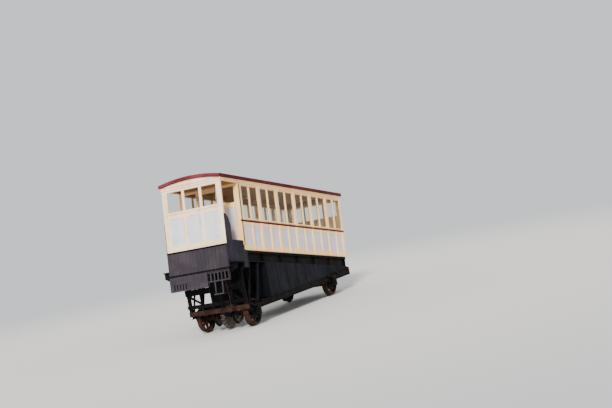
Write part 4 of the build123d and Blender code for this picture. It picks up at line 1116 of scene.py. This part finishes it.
# %% Rail bar and horn plate rivets
bar_web, bar_low, bar_high, bar_inset = 0.900, 0.453, 0.633, 0.032
arch_reach, bar_end = 0.360, 5.840
stretches = ((-0.380, -0.350), (arch_reach, wheelbase - arch_reach), (wheelbase + arch_reach, bar_end))
rows = [frame_row((start, -bar_web, z), (end, -bar_web, z), rightwards)
        for start, end in stretches for z in (bar_low + bar_inset, bar_high - bar_inset)]
show_rows("rail_bar_rivets", both(rows), "black_paint", spacing=0.120, size=large_rivet)

guard_face, guard_plate = 0.872, 0.016
guard_top, guard_foot = 0.300, 0.165
guard_rows = ((-guard_face, 0.580, 0.290, leftwards), (-guard_face - guard_plate, 0.440, 0.250, rightwards))
rows = [frame_row((axle + way * guard_top, y, high), (axle + way * guard_foot, y, low), out)
        for axle in (0, wheelbase) for way in (-1, 1) for y, high, low, out in guard_rows]
show_rows("horn_plate_rivets", both(rows), "black_paint", spacing=0.075, size=small_head)

# %% [markdown]
# An axle box is closed by a domed cover with a hinged oil lid, and the spring above it is held to the
# box by a pair of U-bolts. The spring's ends hang on pins in short links below the rail bar.

# %% Axle box covers and spring bolts
box_face, box_center = 0.985, 0.388
lid_outline, lid_plate = ((-0.040, 0.452), (0.040, 0.452), (0.040, 0.484), (-0.040, 0.484)), 0.010
cover_profile = ((-0.002, 0.066), (0.006, 0.064), (0.014, 0.054), (0.020, 0.030))
link_pin_profile = ((0.0, 0.016), (0.074, 0.016), (0.078, 0.010))
spring_outer, spring_inner = 0.974, 0.910
bolt_low, bolt_high, bolt_half_gap = 0.480, 0.592, 0.055
link_reach, link_face, link_height = 0.305, 0.902, 0.616


def draw_side_plate(drawn, outline, y, thickness):
    """A plate that stands along the rails: its outline in x and z, from y on by its thickness."""
    draw_prism(drawn, [past_axle(x, y, z) for x, z in outline], thickness * leftwards)


covers, bolts = bmesh.new(), bmesh.new()
for axle in (0, wheelbase):
    for side in (-1, 1):
        out = side * leftwards
        draw_lathe(covers, past_axle(axle, side * box_face, box_center), out, cover_profile)
        draw_side_plate(covers, [(axle + x, z) for x, z in lid_outline], side * box_face, side * lid_plate)
        inner, outer = side * (spring_inner - 0.014), side * (spring_outer + 0.012)
        for x in (axle - bolt_half_gap, axle + bolt_half_gap):
            draw_tube(bolts, [past_axle(x, inner, bolt_low), past_axle(x, inner, bolt_high),
                              past_axle(x, outer, bolt_high), past_axle(x, outer, bolt_low)], 0.008)
        for x in (axle - link_reach, axle + link_reach):
            draw_lathe(bolts, past_axle(x, side * link_face, link_height), out, link_pin_profile, sides=12)
show_drawn("axle_box_covers", covers, "black_paint")
show_drawn("spring_bolts", bolts, "rusty_iron")

# %% [markdown]
# The body is a timber frame, and its main posts stand a little proud of everything between them: they
# run from the foot of the sill up into the cornice, and only the belt crosses them. In the photograph
# they read as bright stripes that divide the side into bays. Below the belt a narrower board covers the
# joint between the two panels of a bay. Each is one board with eased edges, and Geometry Nodes would gain
# little here, since the boards of one side differ in width and height.

# %% Bay posts
post_proud, post_ease = 0.014, 0.005
bay_post, joint_board, end_post = 0.138, 0.086, 0.085
belt_low, belt_high = belt_height - 0.026, belt_height + 0.026
post_low, post_high = 0.004, wall_top + 0.034
last_post = cabin_back - 0.055
posts = bmesh.new()


def draw_post(side, h, width, low, high, sunk=0.002):
    """An upright board on a side wall; sunk is how far it goes into a recess under its edges."""
    half = width / 2
    section = ((-half, -sunk), (-half, post_proud - post_ease), (-half + post_ease, post_proud),
               (half - post_ease, post_proud), (half, post_proud - post_ease), (half, -sunk))
    foot, head = at(h, side * half_width, low), at(h, side * half_width, high)
    draw_run(posts, foot, head, -outwards, side * leftwards, section)


for side in (-1, 1):
    for h in [bay * bay_pitch for bay in range(bay_count)] + [last_post]:
        draw_post(side, h, bay_post, post_low, belt_low, panel_recess)
        draw_post(side, h, bay_post, belt_high, post_high)
    for bay in range(bay_count):
        draw_post(side, (bay + 0.5) * bay_pitch, joint_board, post_low, belt_low, panel_recess)
    for low, high in ((panel_foot + 0.004, belt_low), (belt_high, post_high)):
        draw_post(side, cabin_front + end_post / 2 + 0.003, end_post, low, high)
show_drawn("bay_posts", posts, "cream_paint")

# %% [markdown]
# Window sills throw the rain clear of the belt. A sill is a sloping board with a rounded nose; there is
# one under each pair of lights, between the bay posts. Narrow rails run over the windows and along the
# foot of the wall.

# %% Window sills and rails
sill_section = ((0, 0), (0.026, 0), (0.026, 0.006), (0.016, 0.016), (0.008, 0.019), (0, 0.016))
rail_section = ((0, 0), (0.030, 0), (0.028, 0.007), (0.002, 0.007))
sills = bmesh.new()
for side in (-1, 1):
    for bay in range(bay_count):
        start = bay * bay_pitch + bay_post / 2
        end = min((bay + 1) * bay_pitch, last_post) - bay_post / 2
        for u, section in ((window_sill - 0.030, sill_section), (window_top + 0.004, rail_section),
                           (post_low, rail_section)):
            draw_side_run(sills, side, start, end, half_width, u, section)
show_drawn("window_sills", sills, "cream_paint")

# %% [markdown]
# Inside, the cabin is lined with narrow upright boards below the windows and long boards above them, all
# varnished. One board is drawn and Geometry Nodes repeat it along the wall, on each side.

# %% Inside linings
lining = 0.008
lining_out, lining_in = inner_half + overlap, inner_half - lining
dado_board, dado_pitch, dado_start = 0.090, 0.094, 0.004
dado_low, dado_high = floor_top + 0.008, window_sill - 0.010
dado_count = int((cabin_back - wall - 0.030) / dado_pitch)
header_rows = ((window_top + 0.006, window_top + 0.090), (window_top + 0.094, window_top + 0.184))
platform_start, cabin_start, cabin_end = vestibule_front + wall, cabin_front + wall, cabin_back - wall

for side, label in ((-1, "right"), (1, "left")):
    board = bmesh.new()
    draw_block(board, at, (dado_start, side * lining_out, dado_low),
               (dado_start + dado_board, side * lining_in, dado_high))
    show_repeated("dado_boards_" + label, board, "brown_wood", dado_count, cabin_way(dado_pitch, 0, 0))

headers = bmesh.new()
for low, high in header_rows:
    clear_low = max(low, wall_top)
    for side in (-1, 1):
        for start, end, foot in ((platform_start, cabin_front, clear_low), (cabin_start, cabin_end, low)):
            draw_block(headers, at, (start, side * lining_out, foot), (end, side * lining_in, high))
    for h, way in ((platform_start, 1), (cabin_front, -1), (cabin_start, 1), (cabin_end, -1)):
        draw_block(headers, at, (h - way * overlap, -lining_in, clear_low),
                   (h + way * lining, lining_in, high))
show_drawn("head_lining", headers, "brown_wood")

# %% [markdown]
# The platform's ceiling is boarded like the cabin's. Its boards follow the roof's arch, so each one is
# drawn between two points of the arch, a little below the roof.

# %% Platform ceiling
ceiling_low, ceiling_high = -0.052, -0.040
ceiling_pitch, ceiling_board = 0.085, 0.078
ceiling_length = cabin_front - end_gap - platform_start
ceiling_boards = bmesh.new()
reach = int(inner_half / ceiling_pitch)
for row in range(-reach, reach + 1):
    y0 = max(row * ceiling_pitch - ceiling_board / 2, -inner_half)
    y1 = min(row * ceiling_pitch + ceiling_board / 2, inner_half)
    outline = [arch_point(platform_start, y, lift) for y, lift in
               ((y0, ceiling_low), (y1, ceiling_low), (y1, ceiling_high), (y0, ceiling_high))]
    draw_prism(ceiling_boards, outline, cabin_way(ceiling_length, 0, 0))
show_drawn("platform_ceiling", ceiling_boards, "brown_wood")

# %% [markdown]
# The door swings, so what is fixed to it rides on the body "door": the beads of its pane and panel, a
# kick plate, the screws of its hinge straps, a lock with its knob inside and a keyhole plate outside.
# The fixed half of each hinge gets its screws on the root body.

# %% Door fittings
door_face, door_back, door_half = -0.100, -0.062, 0.285
door_light, door_sill, door_head = 0.224, 1.300, 1.695
door_panel_low, door_panel_high = 0.266, 1.190
hinge_heights, strap_plate = (0.330, 0.960, 1.590), 0.004
kick_low, kick_high, kick_plate = 0.170, 0.250, 0.0015
lock_y, lock_u = -0.255, 0.880
keyhole_plate = ((-0.014, -0.040), (0.014, -0.040), (0.018, 0.0), (0.014, 0.040), (-0.014, 0.040),
                 (-0.018, 0.0))
knob_profile = ((0.0, 0.016), (0.004, 0.016), (0.006, 0.008), (0.022, 0.008), (0.030, 0.022), (0.040, 0.026),
                (0.048, 0.020), (0.051, 0.008))
screw = 0.0045

door_beads = bmesh.new()
draw_pane_beads(door_beads, (door_face + door_back) / 2, -door_light, door_light, door_sill, door_head)
for h, way in ((door_face + panel_recess, -1), (door_back - panel_recess, 1)):
    draw_end_bead(door_beads, h, -door_light, door_light, door_panel_low, door_panel_high, way, panel_bead)
show_drawn("door_beads", door_beads, "cream_paint", "door")

fittings = bmesh.new()
draw_block(fittings, at, (door_face - kick_plate, -door_half, kick_low), (door_face, door_half, kick_high))
draw_prism(fittings, [at(door_face, lock_y + y, lock_u + u) for y, u in keyhole_plate], 0.003 * outwards)
draw_block(fittings, at, (door_back, lock_y - 0.050, lock_u - 0.045),
           (door_back + 0.020, lock_y + 0.070, lock_u + 0.045))
draw_lathe(fittings, at(door_back + 0.019, lock_y + 0.030, lock_u), -outwards, knob_profile, sides=20)
show_drawn("door_fittings", fittings, "brass", "door")

hinge_face, kick_face = door_face - strap_plate, door_face - kick_plate
rows = [(at(hinge_face, 0.190, u), at(hinge_face, 0.285, u), outwards) for u in hinge_heights]
rows += [(at(kick_face, y, kick_low + 0.010), at(kick_face, y, kick_high - 0.010), outwards)
         for y in (0.010 - door_half, door_half - 0.010)]
show_rows("door_screws", rows, "brass", 0.0315, screw, body="door")
rows = [(at(hinge_face, 0.345, u + rise), at(hinge_face, 0.375, u + rise), outwards)
        for u in hinge_heights for rise in (-0.036, 0.036)]
show_rows("hinge_plate_screws", rows, "brass", 0.030, screw)

# %% [markdown]
# Wheels, drums and pinion turn, and their bolts turn with them. Each wheel has bolts through its hub and
# rivets round its tyre. Rings of heads are short rows placed on a circle, fed to the same fastener tree.

# %% Running gear fastenings
hub_faces, hub_ring = (0.660, 0.830), 0.083
tyre_face, tyre_ring = 0.810, 0.330
drum_offset, drum_web, drum_ring = 0.290, 0.014, 0.155
pinion_web, pinion_ring = 0.045, 0.190


def axle_ring(axle, y, way, radius, count):
    """Heads round an axle, at one y; way is 1 where they face left."""
    return ring_rows(Vector((axle.x, y, axle.z)), way * leftwards, radius, count)


for label, axle in (("lower", lower_axle), ("upper", upper_axle)):
    hub_rows, tyre_rows = [], []
    for side in (-1, 1):
        for face, way in zip(hub_faces, (-side, side)):
            hub_rows += axle_ring(axle, side * face, way, hub_ring, 8)
        tyre_rows += axle_ring(axle, side * tyre_face, side, tyre_ring, 16)
    body = "axle_" + label
    show_rows("hub_bolts_" + label, hub_rows, "rusty_iron", one_each, medium_head, bolt_head, body)
    show_rows("tyre_rivets_" + label, tyre_rows, "rusty_iron", one_each, medium_head, rivet_head, body)

gear_rows = []
for way in (-1, 1):
    gear_rows += axle_ring(lower_axle, way * pinion_web, way, pinion_ring, 12)
    for side in (-1, 1):
        gear_rows += axle_ring(lower_axle, side * drum_offset + way * drum_web, way, drum_ring, 8)
show_rows("drum_and_pinion_bolts", gear_rows, "rusty_iron", one_each, large_head, bolt_head, "axle_lower")

# %% [markdown]
# The hand brake pulls on bands round the two drums. A rod comes down from the column in front of the
# trestle to a bell crank, a link runs under the trestle's beam to a cross shaft, and two levers there
# tighten the bands. The photograph only hints at thin rods here, so their path is a plain one that is
# clear of the posts.

# %% Brake rigging
shaft_x, shaft_z = -0.330, 0.715
crank_x, crank_z, crank_y = -0.560, 0.600, -0.540
link_z, lever_plate = 0.690, 0.014
column_foot = at(-0.690, -0.480, 0.104)
crank = ((-0.675, 0.594), (-0.560, 0.566), (-0.528, 0.586), (-0.540, 0.706), (-0.580, 0.706), (-0.590, 0.626),
         (-0.675, 0.622))
bracket = ((-0.461, 0.560), (-0.461, 0.640), (-0.545, 0.622), (-0.585, 0.600), (-0.545, 0.574))
lever = ((-0.362, 0.705), (-0.340, 0.748), (-0.300, 0.744), (-0.090, 0.676), (-0.064, 0.648), (-0.110, 0.632),
         (-0.300, 0.690))
hanger = ((-0.401, 0.680), (-0.401, 0.755), (-0.345, 0.750), (-0.298, 0.725), (-0.298, 0.700),
          (-0.345, 0.680))

rigging = bmesh.new()
draw_tube(rigging, [column_foot, past_axle(-0.655, crank_y, crank_z + 0.010)], 0.011, sides=10)
draw_tube(rigging, [past_axle(crank_x, crank_y, link_z), past_axle(shaft_x, crank_y, link_z)], 0.009)
draw_tube(rigging, [past_axle(shaft_x, -0.600, shaft_z), past_axle(shaft_x, 0.540, shaft_z)], 0.021,
          sides=12)
draw_side_plate(rigging, crank, crank_y - lever_plate / 2, lever_plate)
for y in (crank_y - 0.022, crank_y + 0.010):
    draw_side_plate(rigging, bracket, y, 0.012)
for side in (-1, 1):
    draw_side_plate(rigging, lever, side * drum_offset - lever_plate / 2, lever_plate)
    draw_side_plate(rigging, hanger, side * 0.470 - 0.010, 0.020)
show_drawn("brake_rigging", rigging, "rusty_iron")


def draw_pin(drawn, x, y, z, length, radius, end_radius):
    """A pin across the car, centred on y, with eased ends."""
    profile = ((0, end_radius), (0.003, radius), (length - 0.003, radius), (length, end_radius))
    draw_lathe(drawn, past_axle(x, y - length / 2, z), leftwards, profile, sides=12)


pins = bmesh.new()
for x, z in ((-0.655, 0.608), (crank_x, crank_z), (crank_x, link_z)):
    draw_pin(pins, x, crank_y, z, 0.052, 0.014, 0.009)
for side in (-1, 1):
    draw_pin(pins, -0.084, side * drum_offset, 0.656, 0.044, 0.011, 0.007)
show_drawn("brake_pins", pins, "black_paint")

# %% [markdown]
# Below the end windows the dark boards are held by coach bolts, a capping strip covers their upper ends
# and a flat iron strap holds them below. Both are black. The box under them has two straps of its own,
# painted over with the boards, and the stirrup step below it has two treads that boots keep bright.

# %% End skirt and front beam fixings
skirt_face, skirt_low, skirt_high = -0.980, -0.535, 0.144
beam_right, beam_low, beam_high = -0.250, -0.905, -0.536
stirrup_front, stirrup_back, stirrup_top = -1.000, -0.885, -1.120
cap_height, foot_strap = skirt_high - 0.022, skirt_low + 0.040
box_strap_heights = (beam_high - 0.050, beam_low + 0.215)
strap_section = ((-0.024, -0.001), (-0.024, 0.004), (-0.020, 0.006), (0.020, 0.006), (0.024, 0.004),
                 (0.024, -0.001))
cap_section = ((-0.020, -0.001), (-0.020, 0.008), (-0.010, 0.016), (0.010, 0.016), (0.018, 0.010),
               (0.018, -0.001))


def draw_straps(drawn, start, heights, section):
    """Level strips on the outer face of the end, from start to the left side."""
    for u in heights:
        draw_run(drawn, at(skirt_face, start, u), at(skirt_face, half_width, u), upwards, outwards, section)


straps, box_straps = bmesh.new(), bmesh.new()
draw_straps(straps, -half_width, [cap_height], cap_section)
draw_straps(straps, -half_width, [foot_strap], strap_section)
draw_straps(box_straps, beam_right, box_strap_heights, strap_section)
show_drawn("end_straps", straps, "black_paint")
show_drawn("box_straps", box_straps, "navy_paint")

tread = bmesh.new()
for start, end in ((-0.700, -0.565), (-0.555, -0.420)):
    draw_block(tread, at, (stirrup_front + 0.006, start, stirrup_top),
               (stirrup_back - 0.004, end, stirrup_top + 0.004))
    draw_block(tread, at, (stirrup_front - 0.001, start, stirrup_top - 0.016),
               (stirrup_front, end, stirrup_top))
show_drawn("stirrup_tread", tread, "bare_steel")

skirt_board = 2 * half_width / 16
strap_face = skirt_face - 0.006
skirt_span = (skirt_board / 2 - half_width, half_width - skirt_board / 2)
box_span = (beam_right + 0.040, half_width - 0.040)
bolt_lines = [(strap_face, skirt_span, foot_strap), (skirt_face, skirt_span, -0.230),
              (skirt_face, skirt_span, 0.070)] + [(strap_face, box_span, u) for u in box_strap_heights]
rows = [(at(face, start, u), at(face, end, u), outwards) for face, (start, end), u in bolt_lines]
show_rows("end_bolts", rows, "navy_paint", spacing=skirt_board, size=0.010)

# %% [markdown]
# The plates beside the platform are riveted to the floor frame, and each rises into a dark wing that is
# riveted to the corner post behind the end screen. Three level rows and one upright row are enough.

# %% Side skirt rivets
plate_face, wing_top = half_width + 0.010, 0.880
wing_row = vestibule_front + 0.030
rows = [body_row(vestibule_front + 0.040, -0.040, plate_face, u) for u in (-0.440, -0.080, 0.120)]
rows.append(body_row(wing_row, wing_row, plate_face, -0.400, wing_top))
show_rows("side_skirt_rivets", both(rows), "navy_paint", spacing=0.085, size=small_rivet)

# %% [markdown]
# The steps have raised ribs, so that wet boots hold on them, and bolts at their ends. One rib is drawn and
# repeated across the tread by Geometry Nodes.

# %% Step treads
step_front, step_back, step_top, step_edge = -0.950, -0.430, -0.350, 1.130
rib_section = ((-0.008, -0.001), (-0.005, 0.005), (0.005, 0.005), (0.008, -0.001))
rib_total, step_rib_pitch, rib_gap = 5, 0.038, 0.015
for side, label in ((-1, "right"), (1, "left")):
    rib, y = bmesh.new(), side * (step_edge - 0.012)
    start, end = at(step_front + rib_gap, y, step_top), at(step_back - rib_gap, y, step_top)
    draw_run(rib, start, end, side * leftwards, upwards, rib_section)
    show_repeated("step_ribs_" + label, rib, "rusty_iron", rib_total, -side * step_rib_pitch * leftwards)
rows = [(at(h, 0.030 - step_edge, step_top), at(h, -0.960, step_top), upwards)
        for h in (step_front + 0.066, step_back - 0.066)]
show_rows("step_bolts", both(rows), "rusty_iron", spacing=0.066, size=0.007)

# %% [markdown]
# The water outlet is bolted to the tank through a round flange, and the funnel over it has a rolled rim.
# Six bolts hold the rope anchorage to the upper headstock, and three at each end join the headstock to the
# rail bars. The clevis has an open bore for the rope's pin.

# %% Outlet flange, funnel rim and anchor bolts
outlet, flange_ring, flange_plate_face = past_axle(tank_front, -0.380, 0.980), 0.098, 0.018
flange_profile = ((-0.001, 0.118), (0.014, 0.118), (flange_plate_face, 0.112), (flange_plate_face, 0.078))
rim, rim_radius, rim_bar = outlet + Vector((-0.210, 0, 0.130)), 0.150, 0.009
outlet_flange = bmesh.new()
draw_lathe(outlet_flange, outlet, downhill, flange_profile, sides=28)
draw_skin(outlet_flange, [circle(point, (point - rim).normalized(), Vector((0, 0, 1)), rim_bar, 8)
                          for point in circle(rim, uphill, leftwards, rim_radius, 32)], closed=True)
show_drawn("outlet_flange", outlet_flange, "black_paint")
show_rows("outlet_bolts", ring_rows(outlet + flange_plate_face * downhill, downhill, flange_ring, 8),
          "black_paint", one_each, medium_head, bolt_head)

anchor_face, headstock_face, side_bolts = 5.950, 5.930, 0.870
rows = [frame_row((x, y, low), (x, y, high), uphill) for x, y, low, high in
        ((anchor_face, -0.120, 0.515, 0.605), (anchor_face, 0.120, 0.515, 0.605),
         (headstock_face, -side_bolts, 0.490, 0.600), (headstock_face, side_bolts, 0.490, 0.600))]
show_rows("upper_headstock_bolts", rows, "rusty_iron", 0.045, large_head, bolt_head)

# %% [markdown]
# Hands and eyes meet the small fittings: round flanges at the feet of the grab rails, and screws along
# the seats where the slats cross the frames.

# %% Rail flanges and bench screws
rail_y, rail_ends = 0.835, (0.700, 1.500)
foot_profile = ((-0.001, 0.028), (0.004, 0.028), (0.008, 0.022), (0.012, 0.016))
flanges = bmesh.new()
for side in (-1, 1):
    for u in rail_ends:
        draw_lathe(flanges, at(cabin_front, side * rail_y, u), outwards, foot_profile, sides=20)
show_drawn("grab_rail_flanges", flanges, "cream_paint")

seat_top, seat_edge, seat_slats, seat_slat_pitch = floor_top + 0.430, 0.820, 5, 0.080
bench_end = 0.120
rows = []
for bay in range(bay_count + 1):
    h = min(max(bay * bay_pitch, bench_end), cabin_back - wall - bench_end)
    rows.append((at(h, -seat_edge, seat_top), at(h, (seat_slats - 1) * seat_slat_pitch - seat_edge, seat_top),
                 upwards))
show_rows("bench_screws", both(rows), "brass", spacing=seat_slat_pitch, size=0.006)

# %% [markdown]
# A round bead finishes the lower edge of the maroon roof edge. Along the sides it is straight, and at the
# ends it follows the roof's arch, so its points come from the arch.

# %% Roof edge bead
bead_low, bead_radius = roof_edge_height - roof_edge_depth + 0.012, 0.008
roof_bead = bmesh.new()
for side in (-1, 1):
    draw_tube(roof_bead, [at(h, side * roof_half, bead_low) for h in (roof_front, roof_back)], bead_radius)
for h in (roof_front, roof_back):
    arch = [arch_point(h, arch_half * share, bead_low - roof_edge_height) for share in arch_shares]
    draw_tube(roof_bead, [at(h, -roof_half, bead_low)] + arch + [at(h, roof_half, bead_low)], bead_radius)
show_drawn("roof_edge_bead", roof_bead, "maroon_paint")

# %% [markdown]
# The studio is a pale floor that fades into a plain pale sky, so no horizon cuts behind the car. The
# floor's own shader gives way, with distance from the car, to a glow of the same value as the sky.

# %% Floor and sky
sky_color, sky_strength = (0.80, 0.82, 0.84, 1), 1.1
floor_color, floor_radius = (0.72, 0.71, 0.69, 1), 220
fade_start, fade_end = 9.0, 26.0

tree, surface, place = new_finish("studio_floor")
feed(tree, surface, (("Base Color", floor_color), ("Roughness", 0.9)))
distance = add_node(tree, "ShaderNodeVectorMath", operation="LENGTH", links=((0, place),)).outputs["Value"]
glow = add_node(tree, "ShaderNodeEmission", links=(("Color", sky_color), ("Strength", sky_strength)))
blend = add_node(tree, "ShaderNodeMixShader",
                 links=((0, band(tree, distance, fade_start, fade_end)), (1, surface.outputs[0]),
                        (2, glow.outputs[0])))
feed(tree, tree.nodes["Material Output"], (("Surface", blend.outputs[0]),))

drawn = bmesh.new()
bmesh.ops.create_circle(drawn, cap_ends=True, radius=floor_radius, segments=96)
floor_mesh = bpy.data.meshes.new("studio_floor")
drawn.to_mesh(floor_mesh)
drawn.free()
floor_mesh.materials.append(finishes["studio_floor"])
floor = bpy.data.objects.new("studio_floor", floor_mesh)
bpy.context.scene.collection.objects.link(floor)

world = bpy.data.worlds.new("studio_sky")
world.use_nodes = True
feed(world.node_tree, world.node_tree.nodes["Background"], (("Color", sky_color), ("Strength", sky_strength)))
bpy.context.scene.world = world
print("floor radius", floor_radius, "m")

# %% [markdown]
# In the photograph the sun comes from the downhill side, so the end of the car is the brightest face.
# A broad soft sun gives that, and the sky fills the shadows.

# %% Lights
sun_heading = Vector((0.90, 0.34, -0.54))
sun_light = bpy.data.lights.new("sun", "SUN")
sun_light.energy = 5.2
sun_light.angle = math.radians(12)
sun_light.color = (1.0, 0.95, 0.88)
sun = bpy.data.objects.new("sun", sun_light)
sun.rotation_mode = "QUATERNION"
sun.rotation_quaternion = sun_heading.to_track_quat("-Z", "Y")
bpy.context.scene.collection.objects.link(sun)
print("sun from", tuple(-sun_heading))
